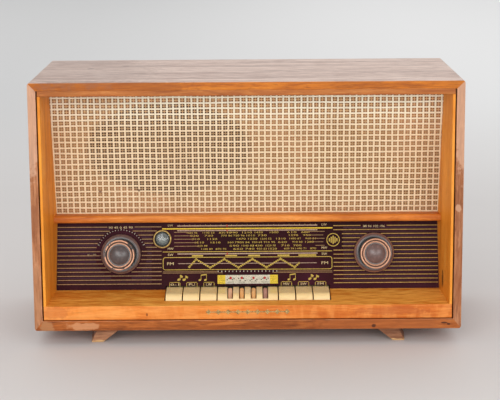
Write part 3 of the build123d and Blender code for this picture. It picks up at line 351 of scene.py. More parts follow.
flank_wood = wood(
    "maple_flank", 2, MAPLE, pores=0.16, shift=0.21, figure=20,
    blots=[((0.294, -0.093, 0.085), (0.004, 0.006, 0.017), DEEP, 0.75)],
)
trim_wood = wood("maple_trim", 0, TRIM, pores=0.12, shift=0.9, figure=24)
rail_wood = wood("maple_rail", 0, RAIL, pores=0.12, shift=0.15, figure=22)
sill_wood = wood(
    "maple_sill", 0, SILL, pores=0.18, shift=0.44, figure=26, flame=0.35,
    blots=[
        ((-0.285, -0.139, 0.05), (0.022, 0.01, 0.010), tone(192, 104, 52), 0.45),
        ((-0.150, -0.139, 0.046), (0.002, 0.01, 0.003), tone(130, 62, 24), 0.8),
        ((0.215, -0.139, 0.049), (0.06, 0.01, 0.006), tone(172, 84, 38), 0.45),
    ],
    # The shelf's upward faces are painted lighter: painted light from above.
    top=(tone(204, 114, 24), tone(255, 188, 86)),
)


def plain(name, colour, rough=0.4, vary=0.12, scale=60.0, bump=0.1, metallic=0.0, **shader):
    """Moulded, painted or plated stuff: one tone with its mottling, scuffs and fine relief."""
    g = Graph(name, Metallic=metallic, **shader)
    mottle = g.noise(g.object, scale, 4, 0.6)
    fine = g.noise(g.object, scale * 14, 3, 0.6)
    darker = tuple(c * (1 - 2.4 * vary) for c in colour[:3]) + (1.0,)
    lighter = tuple(min(1, c * (1 + 1.6 * vary)) for c in colour[:3]) + (1.0,)
    shade = g.ramp(mottle, [(0.3, darker), (0.5, colour), (0.72, lighter)])
    return g.finish(
        shade, g.span(fine, 0.3, 0.7, rough * 0.8, rough * 1.25), g.bump(fine, bump, 0.15 * MM)
    )


def knob_skin(name, side, base, plating_and_highlight, bands, worn, wall_shade=None):
    """Dark knob plastic with bright rings at some radii, where the plating shows or is rubbed off, a
    painted highlight on the ring's rounded edge, and painted shade on the side wall.
    """
    g = Graph(name, Specular_IOR_Level=0.5, Coat_Weight=0.45, Coat_Roughness=0.34)
    near, radius = g.from_axis(DIAL.at(side * KNOB_X, KNOB_RISE), DIAL.out)
    rub = g.noise(near, 62, 3, 0.6, 0.3)
    grit = g.noise(near, 800, 3, 0.6)
    rubbed = g.span(g.math("ADD", rub, g.math("MULTIPLY", grit, 0.1)), worn, worn + 0.04)
    mask = None
    for low, high, soft, whole in bands:
        inside = g.span(radius, (low - soft) * MM, low * MM)
        outside = g.span(radius, high * MM, (high + soft) * MM, 1.0, 0.0)
        band = g.math("MULTIPLY", inside, outside)
        band = g.math("MULTIPLY", band, whole) if whole else g.math("MULTIPLY", band, rubbed)
        mask = g.math("MAXIMUM", mask, band) if mask else band
    scuffs = g.span(g.noise(near, 180, 4, 0.7, 0.5), 0.5, 0.72, 0.0, 0.45)
    dusty = tuple(min(1.0, c * 2.6 + 0.01) for c in base[:3]) + (1.0,)
    colour = g.mix(scuffs, base, dusty)
    # Painted shade on the knob body's side wall, between two radii.
    if wall_shade:
        inner = g.span(radius, (wall_shade[0] - 0.3) * MM, wall_shade[0] * MM)
        outer = g.span(radius, wall_shade[1] * MM, (wall_shade[1] + 0.5) * MM, 1.0, 0.0)
        colour = g.mix(g.math("MULTIPLY", inner, outer), colour, tone(24, 17, 15))
    metallic = None
    if mask:
        colour = g.mix(mask, colour, plating_and_highlight)
        metallic = g.math("MULTIPLY", mask, 0.35)
    rough = g.span(g.math("ADD", scuffs, grit), 0.4, 1.0, 0.28, 0.46)
    return g.finish(colour, rough, g.bump(grit, 0.12, 0.1 * MM), metallic)


KNOB_GREY = tone(72, 60, 58)
KNOB_BROWN = tone(96, 70, 64)
COPPER = tone(214, 158, 124)
# Bright bands: inner and outer radius, soft edge, and strength, or 0 where it is rubbed in patches.
RIM = (20.6, 23.4, 0.4, 0)
BEAD = (16.8, 18.5, 0.3, 0.8)
# The ring's rounded outer edge: a painted highlight, copper-tinted.
RING_EDGE_HIGHLIGHT = (29.0, 31.0, 0.6, 0.55)
# Inner and outer radius of the knob body's side wall, which gets painted shade.
PAINTED_WALL_SHADE = (22.5, 25.4)
cap_left = knob_skin("knob_cap_left", -1, KNOB_GREY, COPPER, [], 0.9, PAINTED_WALL_SHADE)
ring_left = knob_skin(
    "knob_ring_left", -1, tone(92, 70, 64), tone(164, 130, 116), [RING_EDGE_HIGHLIGHT], 0.9, PAINTED_WALL_SHADE
)
trim_left = knob_skin("knob_trim_left", -1, tone(62, 54, 50), COPPER, [RIM, BEAD], 0.50)
tuning_skin = knob_skin("knob_tuning", 1, KNOB_BROWN, tone(196, 142, 116), [RING_EDGE_HIGHLIGHT], 0.9, PAINTED_WALL_SHADE)
trim_right = knob_skin(
    "knob_trim_right", 1, tone(84, 64, 56), COPPER, [(20.6, 23.4, 0.4, 0.9), BEAD], 0.5
)


def eye_ring():
    """A thin gold rim round a dark inner slope."""
    g = Graph("eye_ring", Specular_IOR_Level=0.5)
    near, radius = g.from_axis(DIAL.at(EYE[0] * MM, EYE[1] * MM), DIAL.out)
    rim = g.span(radius, 11.9 * MM, 12.4 * MM)
    tarnish = g.noise(near, 240, 4, 0.6)
    gold = g.mix(g.span(tarnish, 0.35, 0.7), tone(150, 118, 60), tone(206, 176, 104))
    colour = g.mix(rim, tone(44, 36, 30), gold)
    return g.finish(colour, g.span(tarnish, 0.3, 0.7, 0.3, 0.5), None, g.math("MULTIPLY", rim, 0.6))


brass_dark = plain("brass_dull", tone(206, 172, 112), 0.26, 0.3, 300, 0.25, 0.75)
steel = plain("zinc_steel", tone(168, 166, 160), 0.38, 0.1, 70, 0.1, 1.0)
aluminium = plain("aluminium_plain", tone(200, 200, 198), 0.34, 0.08, 90, 0.1, 1.0)
black_iron = plain("core_iron", tone(44, 42, 42), 0.5, 0.2, 120, 0.3)
grey_paint = plain("basket_paint", tone(112, 116, 118), 0.45, 0.1, 90, 0.1)
phenolic = plain("phenolic_brown", tone(96, 54, 32), 0.4, 0.2, 50, 0.1)
ferrite_grey = plain("ferrite_grey", tone(62, 62, 66), 0.55, 0.15, 200, 0.2)
rubber = plain("rubber_black", tone(36, 35, 35), 0.65, 0.15, 140, 0.25)
pulp = plain("cone_pulp", tone(46, 42, 40), 0.85, 0.25, 220, 0.5)
plywood = wood(
    "plywood_raw", 0, (tone(112, 80, 50), tone(140, 104, 68), tone(160, 122, 84), tone(178, 142, 102)),
    pores=0.3, rough=(0.7, 0.85), coat=0.0,
)
dark_paint = plain("dial_paint", tone(48, 30, 32), 0.6, 0.15, 80, 0.1)


def ivory(name, shade):
    """Aged ivory plastic, yellower in patches, painted paler along the top: painted light on the upward
    faces.
    """
    g = Graph(
        name, Specular_IOR_Level=0.5, Coat_Weight=0.5, Coat_Roughness=0.12,
        Subsurface_Weight=0.08, Subsurface_Radius=(0.002, 0.0015, 0.001),
    )
    height = g.axes(g.object)[2]
    # Painted light: the upward faces of the keys are lightened.
    painted_top_light = g.span(height, 0.0575, 0.0655)
    cloud = g.noise(g.object, 42, 4, 0.6)
    colour = g.ramp(cloud, [(0.3, tone(232, 192, 128)), (0.5, shade), (0.72, tone(252, 226, 172))])
    colour = g.mix(g.math("MULTIPLY", painted_top_light, 0.75), colour, tone(255, 226, 164))
    grime = g.span(g.noise(g.object, 260, 4, 0.65), 0.6, 0.8, 0.0, 0.25)
    colour = g.mix(grime, colour, tone(150, 110, 66))
    fine = g.noise(g.object, 900, 2, 0.5)
    return g.finish(colour, g.span(fine, 0.3, 0.7, 0.26, 0.4), g.bump(fine, 0.06, 0.1 * MM))


ivory_keys = ivory("ivory_keys", tone(248, 212, 152))


def hardboard():
    """Pressed brown board, mottled, with paler and darker fibres."""
    g = Graph("hardboard")
    clouds = g.noise(g.object, 14, 4, 0.6)
    flecks = g.noise(g.place(scale=(1, 1, 0.6)), 520, 4, 0.7, 1.2)
    colour = g.ramp(clouds, [(0.3, tone(86, 56, 36)), (0.5, tone(112, 76, 50)), (0.7, tone(132, 94, 64))])
    colour = g.mix(g.span(flecks, 0.5, 0.75, 0.0, 0.45), colour, tone(164, 126, 90))
    colour = g.mix(g.span(flecks, 0.46, 0.3, 0.0, 0.5), colour, tone(58, 36, 24))
    return g.finish(colour, g.span(flecks, 0.3, 0.7, 0.55, 0.75), g.bump(flecks, 0.35, 0.3 * MM))


def dial_face():
    """Wine-dark glass, painted behind, with dust and a faint painted reflection in hazy patches, more of
    it to the right.
    """
    g = Graph("dial_wine_glass", Specular_IOR_Level=0.05)
    depth = g.noise(g.object, 9, 3, 0.5)
    colour = g.ramp(depth, [(0.3, tone(34, 4, 8)), (0.5, tone(48, 8, 16)), (0.72, tone(62, 16, 34))])
    bloom_and_reflection = g.noise(g.place(scale=(1, 1, 0.3)), 16, 4, 0.6, 0.4)
    # Painted reflection: hazy patches, and a lighter sweep towards the right.
    right = g.span(g.axes(g.object)[0], 0.2, 0.3, 0.0, 0.35)
    painted_reflection = g.math("ADD", g.span(bloom_and_reflection, 0.55, 0.8, 0.0, 0.2), g.math("MULTIPLY", right, 0.4))
    colour = g.mix(g.math("MULTIPLY", painted_reflection, 0.8), colour, tone(84, 52, 60))
    dust = g.span(g.noise(g.object, 1500, 2, 0.7), 0.68, 0.78, 0.0, 0.35)
    colour = g.mix(dust, colour, tone(140, 120, 112))
    rough = g.math("ADD", g.span(bloom_and_reflection, 0.4, 0.8, 0.34, 0.44), g.math("MULTIPLY", dust, 0.4))
    return g.finish(colour, rough)


# Stains on the cloth: across, up its slope, and radius, in metres.
STAINS = ((-0.2347, 0.063, 0.002), (-0.223, 0.051, 0.0028), (-0.164, 0.052, 0.002))


def cloth_thread(name, light, shade, spotted=True):
    """Soft spun thread with fibre flecks and slubs, with painted light towards the top, under the trim's
    shade, and a few stains.
    """
    g = Graph(name, Sheen_Weight=0.35, Sheen_Roughness=0.5, Specular_IOR_Level=0.25)
    fibre = g.noise(g.object, 1900, 3, 0.65)
    slub = g.noise(g.object, 150, 3, 0.6)
    colour = g.mix(g.span(fibre, 0.35, 0.7), shade, light)
    colour = g.mix(g.span(slub, 0.5, 0.75, 0.0, 0.4), colour, shade)
    # Painted light: threads lighten towards the top, where the trim shades them.
    painted_light_towards_top = g.span(g.axes(g.object)[2], 0.30, 0.372, 0.0, 0.9)
    colour = g.mix(painted_light_towards_top, colour, tuple(min(1.0, c * 1.45) for c in light[:3]) + (1.0,))
    if spotted:
        aged = g.noise(g.object, 7, 3, 0.6)
        colour = g.mix(g.span(aged, 0.5, 0.75, 0.0, 0.3), colour, tone(206, 164, 122))
        for x, v, size in STAINS:
            mask = g.math("MULTIPLY", g.spot(GRILLE.at(x, v), (size,) * 3, 0.2), 0.8)
            colour = g.mix(mask, colour, tone(96, 58, 34))
    return g.finish(colour, g.span(fibre, 0.3, 0.7, 0.78, 0.95), g.bump(fibre, 0.6, 0.2 * MM))


# The speaker's opening behind the cloth: its middle and its half sizes.
SPEAKER = (-0.1175, 0.118)
SPEAKER_HALF = (0.1245, 0.0725)


def ground_cloth():
    """The brown ground weave, with painted shade where the speaker's oval opening is behind it."""
    g = Graph("cloth_ground", Sheen_Weight=0.2, Specular_IOR_Level=0.2)
    weave = g.noise(g.place(), 1300, 3, 0.7)
    clouds = g.noise(g.object, 11, 3, 0.6)
    browns = [(0.3, tone(132, 94, 54)), (0.5, tone(160, 114, 70)), (0.7, tone(184, 128, 86))]
    colour = g.ramp(clouds, browns)
    centre = GRILLE.at(*SPEAKER)
    near = g.place(
        scale=(1 / SPEAKER_HALF[0], 1, 1 / SPEAKER_HALF[1]),
        offset=(-centre.x / SPEAKER_HALF[0], 0, -centre.z / SPEAKER_HALF[1]),
    )
    flat = g.vector("MULTIPLY", near, (1, 0, 1))["Vector"]
    away = g.vector("LENGTH", flat)["Value"]
    # Painted shade of the dark opening seen through the cloth.
    painted_opening_shade = g.span(away, 0.93, 1.05, 0.84, 0.0)
    colour = g.mix(painted_opening_shade, colour, tone(58, 36, 22))
    colour = g.mix(g.span(weave, 0.4, 0.7, 0.0, 0.35), colour, tone(92, 60, 38))
    return g.finish(colour, g.span(weave, 0.3, 0.7, 0.8, 0.95), g.bump(weave, 0.7, 0.3 * MM))


cream = cloth_thread("thread_cream", tone(250, 230, 198), tone(226, 198, 156))
tan = cloth_thread("thread_tan", tone(214, 180, 134), tone(180, 144, 98), spotted=False)
dial_glass = dial_face()
board = hardboard()


def ink(name, colour, rough=0.45):
    """Printed paint, thin in places."""
    g = Graph(name, Specular_IOR_Level=0.15)
    patchy = g.noise(g.object, 700, 3, 0.6)
    thin = tuple(c * 0.62 for c in colour[:3]) + (1.0,)
    return g.finish(g.mix(g.span(patchy, 0.35, 0.62), thin, colour), rough)


INKS = {
    "gold": ink("ink_gold", tone(206, 176, 78)),
    "bright": ink("ink_bright_gold", tone(232, 200, 58)),
    "note": ink("ink_note", tone(228, 204, 150)),
    "line": ink("ink_line", tone(166, 130, 86)),
    "warm": ink("ink_warm", tone(184, 146, 76)),
    "pale": ink("ink_pale", tone(190, 160, 136)),
    "white": ink("ink_white", tone(214, 206, 184)),
    "dark": ink("ink_dark", tone(70, 60, 50)),
    "red": ink("ink_red", tone(186, 44, 40)),
    "violet": ink("ink_violet", tone(58, 16, 40)),
    "wine": ink("ink_wine", tone(56, 10, 20)),
}


# ---- mesh pieces
def piece(name, mesh, material, body="cabinet", smooth=False, matrix=None):
    """Adds a mesh to the scene as a piece that moves with a CAD body."""
    thing = bpy.data.objects.new(name, mesh)
    scene.collection.objects.link(thing)
    if matrix:
        mesh.transform(matrix)
    mesh.materials.append(material)
    if smooth:
        mesh.polygons.foreach_set("use_smooth", [True] * len(mesh.polygons))
    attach(thing, body)
    return thing


class Shape:
    """Gathers closed solids into one mesh."""

    def __init__(self):
        self.points = []
        self.faces = []

    def prism(self, outline, low, high):
        """A solid between two levels over an outline that runs anticlockwise."""
        count = len(outline)
        base = len(self.points)
        for level in (low, high):
            self.points += [(x, y, level) for x, y in outline]
        self.faces.append(tuple(base + i for i in reversed(range(count))))
        self.faces.append(tuple(base + count + i for i in range(count)))
        for i in range(count):
            j = (i + 1) % count
            self.faces.append((base + i, base + j, base + count + j, base + count + i))

    def bar(self, x0, x1, y0, y1, low, high):
        self.prism([(x0, y0), (x1, y0), (x1, y1), (x0, y1)], low, high)

    def stroke(self, start, end, width, low, high):
        """A straight pen stroke between two points."""
        along = Vector(end) - Vector(start)
        side = Vector((-along.y, along.x)).normalized() * width / 2
        a, b = Vector(start), Vector(end)
        self.prism([tuple(p) for p in (a - side, b - side, b + side, a + side)], low, high)

    def disc(self, x, y, radius, low, high, sides=24, squash=1.0, lean=0.0):
        outline = []
        for i in range(sides):
            angle = 2 * math.pi * i / sides
            across, up = radius * math.cos(angle), radius * squash * math.sin(angle)
            outline.append(
                (
                    x + across * math.cos(lean) - up * math.sin(lean),
                    y + across * math.sin(lean) + up * math.cos(lean),
                )
            )
        self.prism(outline, low, high)

    def ring(self, x, y, radius, width, low, high, start=0.0, end=360.0, sides=40):
        """An arc of a ring, as short strokes that share their ends."""
        count = max(3, round(sides * (end - start) / 360))
        angles = [math.radians(start + (end - start) * i / count) for i in range(count + 1)]
        for first, second in zip(angles, angles[1:]):
            corners = []
            for reach, angle in (
                (radius - width / 2, first),
                (radius + width / 2, first),
                (radius + width / 2, second),
                (radius - width / 2, second),
            ):
                corners.append((x + reach * math.cos(angle), y + reach * math.sin(angle)))
            self.prism(corners, low, high)

    def thread(self, path, side, out, half_width, half_thickness, sides=6):
        """A closed thread of oval section along a path."""
        base = len(self.points)
        for point in path:
            for k in range(sides):
                angle = 2 * math.pi * k / sides
                self.points.append(
                    point
                    + side * (math.cos(angle) * half_width)
                    + out * (math.sin(angle) * half_thickness)
                )
        for i in range(len(path) - 1):
            for k in range(sides):
                a = base + i * sides + k
                b = base + i * sides + (k + 1) % sides
                self.faces.append((a, b, b + sides, a + sides))
        self.faces.append(tuple(base + k for k in reversed(range(sides))))
        last = base + (len(path) - 1) * sides
        self.faces.append(tuple(last + k for k in range(sides)))

    def letters(self, text, x, y, width, height, low, high):
        """Generic figures or band letters, centred on a point and fitted to a size."""
        curve = bpy.data.curves.new("letters", "FONT")
        curve.body = text
        curve.align_x = "CENTER"
        curve.align_y = "CENTER"
        curve.extrude = 0.5
        curve.resolution_u = 2
        thing = bpy.data.objects.new("letters", curve)
        scene.collection.objects.link(thing)
        bpy.context.view_layer.update()
        mesh = bpy.data.meshes.new_from_object(thing.evaluated_get(bpy.context.evaluated_depsgraph_get()))
        size = [
            (min(v.co[i] for v in mesh.vertices), max(v.co[i] for v in mesh.vertices))
            for i in range(3)
        ]
        base = len(self.points)
        for v in mesh.vertices:
            share = [(v.co[i] - a) / max(b - a, 1e-9) for i, (a, b) in enumerate(size)]
            self.points.append(
                (
                    x + (share[0] - 0.5) * width,
                    y + (share[1] - 0.5) * height,
                    low + share[2] * (high - low),
                )
            )
        for face in mesh.polygons:
            self.faces.append(tuple(base + i for i in face.vertices))
        bpy.data.objects.remove(thing)
        bpy.data.meshes.remove(mesh)

    def mesh(self, name):
        data = bpy.data.meshes.new(name)
        data.from_pydata([tuple(p) for p in self.points], [], self.faces)
        data.update()
        return data


def skin(bm, rings):
    """Faces between rings of points, where a ring of one point is a tip, as a mesh."""
    for first, second in zip(rings, rings[1:]):
        count = max(len(first), len(second))
        for i in range(count):
            j = (i + 1) % count
            corners = [first[i % len(first)], first[j % len(first)]]
            corners += [second[j % len(second)], second[i % len(second)]]
            unique = list(dict.fromkeys(corners))
            if len(unique) > 2:
                bm.faces.new(unique)
    for end in (rings[0], rings[-1]):
        if len(end) > 2:
            bm.faces.new(end)
    bmesh.ops.recalc_face_normals(bm, faces=bm.faces)
    mesh = bpy.data.meshes.new("turned")
    bm.to_mesh(mesh)
    bm.free()
    return mesh


def lathe(profile, sides=48):
    """A solid of revolution about Z from (radius, height) points that start and end on the axis."""
    bm = bmesh.new()
    rings = []
    for radius, height in profile:
        turns = [2 * math.pi * i / sides for i in range(sides if radius else 1)]
        spots = [(radius * math.cos(turn), radius * math.sin(turn), height) for turn in turns]
        rings.append([bm.verts.new(spot) for spot in spots])
    return skin(bm, rings)


# ---- carried-over nodes
looks = {
    "cabinet_top": top_wood,
    "cabinet_bottom": bottom_wood,
    "cabinet_side_left": left_wood,
    "cabinet_side_right": right_wood,
    "trim_top": trim_wood,
    "front_sill": sill_wood,
    "centre_rail": rail_wood,
    "baffle_board": plywood,
    "speaker_basket": grey_paint,
    "speaker_cone": pulp,
    "dial_glass": dial_glass,
    "dial_backplate": dark_paint,
    "dial_pointer": INKS["red"],
    "magic_eye_bezel": eye_ring(),
    "sill_ornament": brass_dark,
    "volume_knob": cap_left,
    "tuning_knob": tuning_skin,
    "volume_knob_trim": trim_left,
    "tuning_knob_trim": trim_right,
    "antenna_ring": ring_left,
    "ferrite_rod": ferrite_grey,
    "back_panel": board,
    "mains_gland": rubber,
}
for material, nodes in (
    (flank_wood, ("flank_left", "flank_right")),
    (black_iron, ("speaker_magnet", "mains_transformer", "output_transformer")),
    (aluminium, ("capacitor_frame", "capacitor_rotor")),
    (steel, ("pointer_rail", "key_rod", "volume_shaft", "tuning_shaft", "panel_screws")),
    (steel, ("chassis_deck", "chassis_front", "chassis_rear")),
    (phenolic, ("volume_control", "tuning_drum", "ferrite_holder", "valves", "socket_strip")),
    (foot_wood, ("foot_front_left", "foot_front_right", "foot_rear_left", "foot_rear_right")),
    (ivory_keys, ("key_block", *(f"key_{number}" for number in range(1, 7)))),
):
    for node in nodes:
        looks[node] = material
for node, material in looks.items():
    thing = NODES[node]
    if not thing.material_slots:
        thing.data.materials.append(material)
    for held in thing.material_slots:
        held.material = material

# ---- speaker cloth
cloth_low, cloth_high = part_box("speaker_cloth")
CLOTH_HALF = cloth_high.x - 0.3 * MM
cloth_rise = (cloth_high.z - cloth_low.z) / math.cos(GRILLE_LEAN)
CLOTH_FOOT = 4.5 * MM
CLOTH_TOP = CLOTH_FOOT + cloth_rise - 1.6 * MM
COLUMN_PITCH = 9.1 * MM
ROW_PITCH = 8.7 * MM
columns = int(CLOTH_HALF / COLUMN_PITCH)
column_places = [i * COLUMN_PITCH for i in range(-columns, columns + 1)]
row_places = []
level = CLOTH_FOOT + 2.2 * MM
while level < CLOTH_TOP - 1.8 * MM:
    row_places.append(level)
    level += ROW_PITCH


def drift(seed, travel):
    """How far a hand-stretched thread strays from straight."""
    return noise.noise(Vector((travel * 22, seed * 7.3, 1.7))) * 0.75 * MM


def ground():
    shape = Shape()
    low, high = -1.15 * MM, -0.9 * MM
    steps_x, steps_v = 66, 24
    for level_w, flip in ((high, False), (low, True)):
        base = len(shape.points)
        for j in range(steps_v + 1):
            for i in range(steps_x + 1):
                x = -CLOTH_HALF + 2 * CLOTH_HALF * i / steps_x
                v = CLOTH_FOOT + (CLOTH_TOP - CLOTH_FOOT) * j / steps_v
                shape.points.append(GRILLE.at(x, v, level_w))
        for j in range(steps_v):
            for i in range(steps_x):
                a = base + j * (steps_x + 1) + i
                quad = (a, a + 1, a + steps_x + 2, a + steps_x + 1)
                shape.faces.append(quad[::-1] if flip else quad)
    return shape.mesh("cloth_ground")


def threads(places, upright, half_width, half_thickness, middle, wave, sides, steps):
    """One set of parallel threads, which rise and dip where they cross the other set."""
    shape = Shape()
    crossings = row_places if upright else column_places
    low, high = (CLOTH_FOOT, CLOTH_TOP) if upright else (-CLOTH_HALF, CLOTH_HALF)
    pitch = ROW_PITCH if upright else COLUMN_PITCH
    side, along = (GRILLE.right, GRILLE.up) if upright else (GRILLE.up, GRILLE.right)
    count = int((high - low) / pitch * steps)
    for number, place in enumerate(places):
        path = []
        for i in range(count + 1):
            travel = low + (high - low) * i / count
            stray = drift(number + (50 if upright else 0), travel)
            phase = (travel - crossings[0]) / pitch * math.pi
            sign = 1 if (number % 2) ^ upright else -1
            w = middle + wave * math.cos(phase) * sign
            x, v = (place + stray, travel) if upright else (travel, place + stray)
            path.append(GRILLE.at(x, v, w))
        shape.thread(path, side, GRILLE.out, half_width, half_thickness, sides)
    return shape.mesh("threads")


cloth = piece("cloth_ground", ground(), ground_cloth())
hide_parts("speaker_cloth")
half_columns = [x + COLUMN_PITCH / 2 for x in column_places[:-1]]
half_rows = [v + ROW_PITCH / 2 for v in row_places[:-1]]
for name, places, upright, width, thickness, middle, wave, sides, steps, material in (
    ("cloth_warp", column_places, True, 1.45, 0.36, -0.50, 0.12, 6, 4, cream),
    ("cloth_weft", row_places, False, 1.45, 0.36, -0.50, 0.12, 6, 4, cream),
    ("cloth_fine_warp", half_columns, True, 0.55, 0.22, -0.78, 0.05, 4, 2, tan),
    ("cloth_fine_weft", half_rows, False, 0.55, 0.22, -0.78, 0.05, 4, 2, tan),
):
    mesh = threads(places, upright, width * MM, thickness * MM, middle * MM, wave * MM, sides, steps)
    piece(name, mesh, material, smooth=True)

# ---- dial print
prints = {name: Shape() for name in INKS}
UNDER = -0.05 * MM
OVER = 0.08 * MM


def bar(ink_name, x0, x1, v, height):
    prints[ink_name].bar(
        x0 * MM, x1 * MM, (v - height / 2) * MM, (v + height / 2) * MM, UNDER, OVER
    )


def stroke(ink_name, start, end, width):
    prints[ink_name].stroke(
        tuple(c * MM for c in start), tuple(c * MM for c in end), width * MM, UNDER, OVER
    )


def disc(ink_name, x, v, radius, **more):
    prints[ink_name].disc(x * MM, v * MM, radius * MM, UNDER, OVER, **more)


def ring(ink_name, x, v, radius, width, start=0, end=360):
    prints[ink_name].ring(x * MM, v * MM, radius * MM, width * MM, UNDER, OVER, start, end)


def letters(ink_name, text, x, v, width, height):
    prints[ink_name].letters(text, x * MM, v * MM, width * MM, height * MM, UNDER, OVER)


LINE_COUNT = 15
LINE_PITCH = 6.23
LINE_FOOT = 8.9
PANEL_EDGE = 131.5
GLASS_EDGE = 291.0
KNOB = (193.0, 55.0)
BADGE = (131.0, 74.5)
TICK_RADIUS = 36.0
TICK_COUNT = 21
TICK_START, TICK_SWEEP = 158, 136
KNOB_CLEARANCE = 31.5
TUNING_CLEARANCE = 30.8
EYE_CLEARANCE = 15.0
BADGE_CLEARANCE = 13

# Heights on the glass of the rows of the station panel, from the top down, and their half widths.
TOP_SCALE, TOP_RULE, LOWER_RULE = 97.2, 92.8, 90.0
STATION_ROWS = (86.6, 82.0, 76.9, 71.6, 66.4, 61.6)
STATION_COLUMNS = (-93, -69, -44, -26, -7, 12, 35, 60, 82)
STATION_END = 105
MIDDLE_RULE, SHORT_SCALE, BLOCK_ROW = 57.6, 54.4, 51.4
FM_ROW = 39.6
UNDERLINES = (27.2, 25.2)
REGISTER_ROW, REGISTER_HEIGHT = 15.0, 13.4
RULE_HALF, SCALE_HALF, FM_HALF = 129.5, 107, 106
LETTER_PLACE = 117.5


def half_chord(reach, rise):
    """Half the width of a circle at a height above its middle, and nothing past its edge."""
    return math.sqrt(reach**2 - rise**2) if abs(rise) < reach else 0.0


# stripes either side of the station panel, stopping short of the knobs, the eye and the badge
for index in range(LINE_COUNT):
    v = LINE_FOOT + index * LINE_PITCH
    gap = half_chord(TICK_RADIUS + 3 if v > KNOB[1] + 8 else KNOB_CLEARANCE, v - KNOB[1])
    top_line = index == LINE_COUNT - 1
    if top_line:
        gap = 21.0
    eye_gap = half_chord(EYE_CLEARANCE, v - EYE[1])
    inner = EYE[0] - eye_gap if eye_gap else -PANEL_EDGE
    near_badge = abs(v - BADGE[1]) < BADGE_CLEARANCE + 1
    spans = [(-GLASS_EDGE, -KNOB[0] - gap), (-KNOB[0] + gap, inner)] if gap else [(-GLASS_EDGE, inner)]
    gap = 20.0 if top_line else half_chord(30.6, v - KNOB[1])
    start = PANEL_EDGE + (BADGE_CLEARANCE if near_badge else 0)
    spans += [(start, KNOB[0] - gap), (KNOB[0] + gap, GLASS_EDGE)] if gap else [(start, GLASS_EDGE)]
    for x0, x1 in spans:
        if x1 - x0 > 1:
            bar("line" if x0 < 0 else "warm", x0, x1, v, 1.2)

# fainter bands between the stripes
for index in range(LINE_COUNT):
    v = LINE_FOOT + (index + 0.5) * LINE_PITCH
    tint = "violet" if index % 2 else "wine"
    for side in (-1, 1):
        gap = half_chord(TICK_RADIUS + 4 if side < 0 else TUNING_CLEARANCE, v - KNOB[1])
        spans = [(PANEL_EDGE + 15, KNOB[0] - gap), (KNOB[0] + gap, GLASS_EDGE)]
        for x0, x1 in spans:
            if index < LINE_COUNT - 1 and x1 - x0 > 2:
                bar(tint, *sorted((side * x0, side * x1)), v, 2.2)

# ticks round the left knob, and the figures over both
for index in range(TICK_COUNT):
    angle = math.radians(TICK_START - TICK_SWEEP * index / (TICK_COUNT - 1))
    long = 2.6 if index % 5 == 0 else 1.5
    direction = Vector((math.cos(angle), math.sin(angle)))
    spot = Vector((-KNOB[0], KNOB[1])) + direction * TICK_RADIUS
    stroke("white", tuple(spot), tuple(spot + direction * long), 0.75)
letters("note", "90 45 0 45 90", -193.5, 95.4, 37, 3.4)
letters("note", "88 94 100 106", 193.5, 95.0, 33, 3.4)
letters("note", "0 - 10", -238, 54, 13, 2.8)

# station panel: long and medium wave scales over rows of figures, short wave under them
bar("bright", -130, 130, TOP_RULE, 1.9)
for v in (TOP_SCALE, LOWER_RULE):
    bar("pale", -SCALE_HALF, SCALE_HALF, v, 1.7)
SCALE_TICKS, SCALE_PITCH = 27, 8.0
for index in range(SCALE_TICKS):
    x = (index - (SCALE_TICKS - 1) / 2) * SCALE_PITCH
    bar("gold", x - 0.35, x + 0.35, 98.4, 1.5)
    bar("dark", x - 0.3, x + 0.3, LOWER_RULE, 1.0)
for side in (-1, 1):
    letters("note", "LW", side * LETTER_PLACE, 98.0, 7.6, 3.4)
    letters("note", "MW", side * LETTER_PLACE, 62.4, 8.4, 3.5)
    letters("note", "SW", side * LETTER_PLACE, 53.2, 8.2, 3.5)
    letters("note", "FM", side * 118.0, 39.5, 10.0, 4.2)
    for index, v in enumerate((87.5, 82.0, 76.9, 71.6, 66.2)):
        reach = (124 if side < 0 else 118) - 2 * (index % 2)
        if side < 0 and v > 64 and v < 91:
            reach = 112
        bar("line", *sorted((side * (reach - 26 + 3 * index * side), side * reach)), v, 0.8)

random.seed(5)
for row, v in enumerate(STATION_ROWS):
    for number, start in enumerate(STATION_COLUMNS):
        width = random.uniform(12, 18)
        x = start + row * (4.2 if number < 7 else 2.6) + random.uniform(-1.5, 1.5)
        if (row + number * 2) % 7 == 6 and number not in (3, 4, 5):
            continue
        width = min(width, STATION_END - x)
        if width < 8:
            continue
        figure = str(random.randint(52, 160) * 10)
        if width > 15:
            figure += " " + str(random.randint(52, 99))
        letters("gold", figure, x + width / 2, v, width, 2.7)

bar("gold", -RULE_HALF, RULE_HALF, MIDDLE_RULE, 1.0)
bar("pale", -SCALE_HALF, SCALE_HALF, SHORT_SCALE, 1.7)
for x0, x1 in ((-85, -68), (-34, -16), (1, 19), (46, 64), (78, 105)):
    bar("gold", x0, x1, BLOCK_ROW, 2.2)

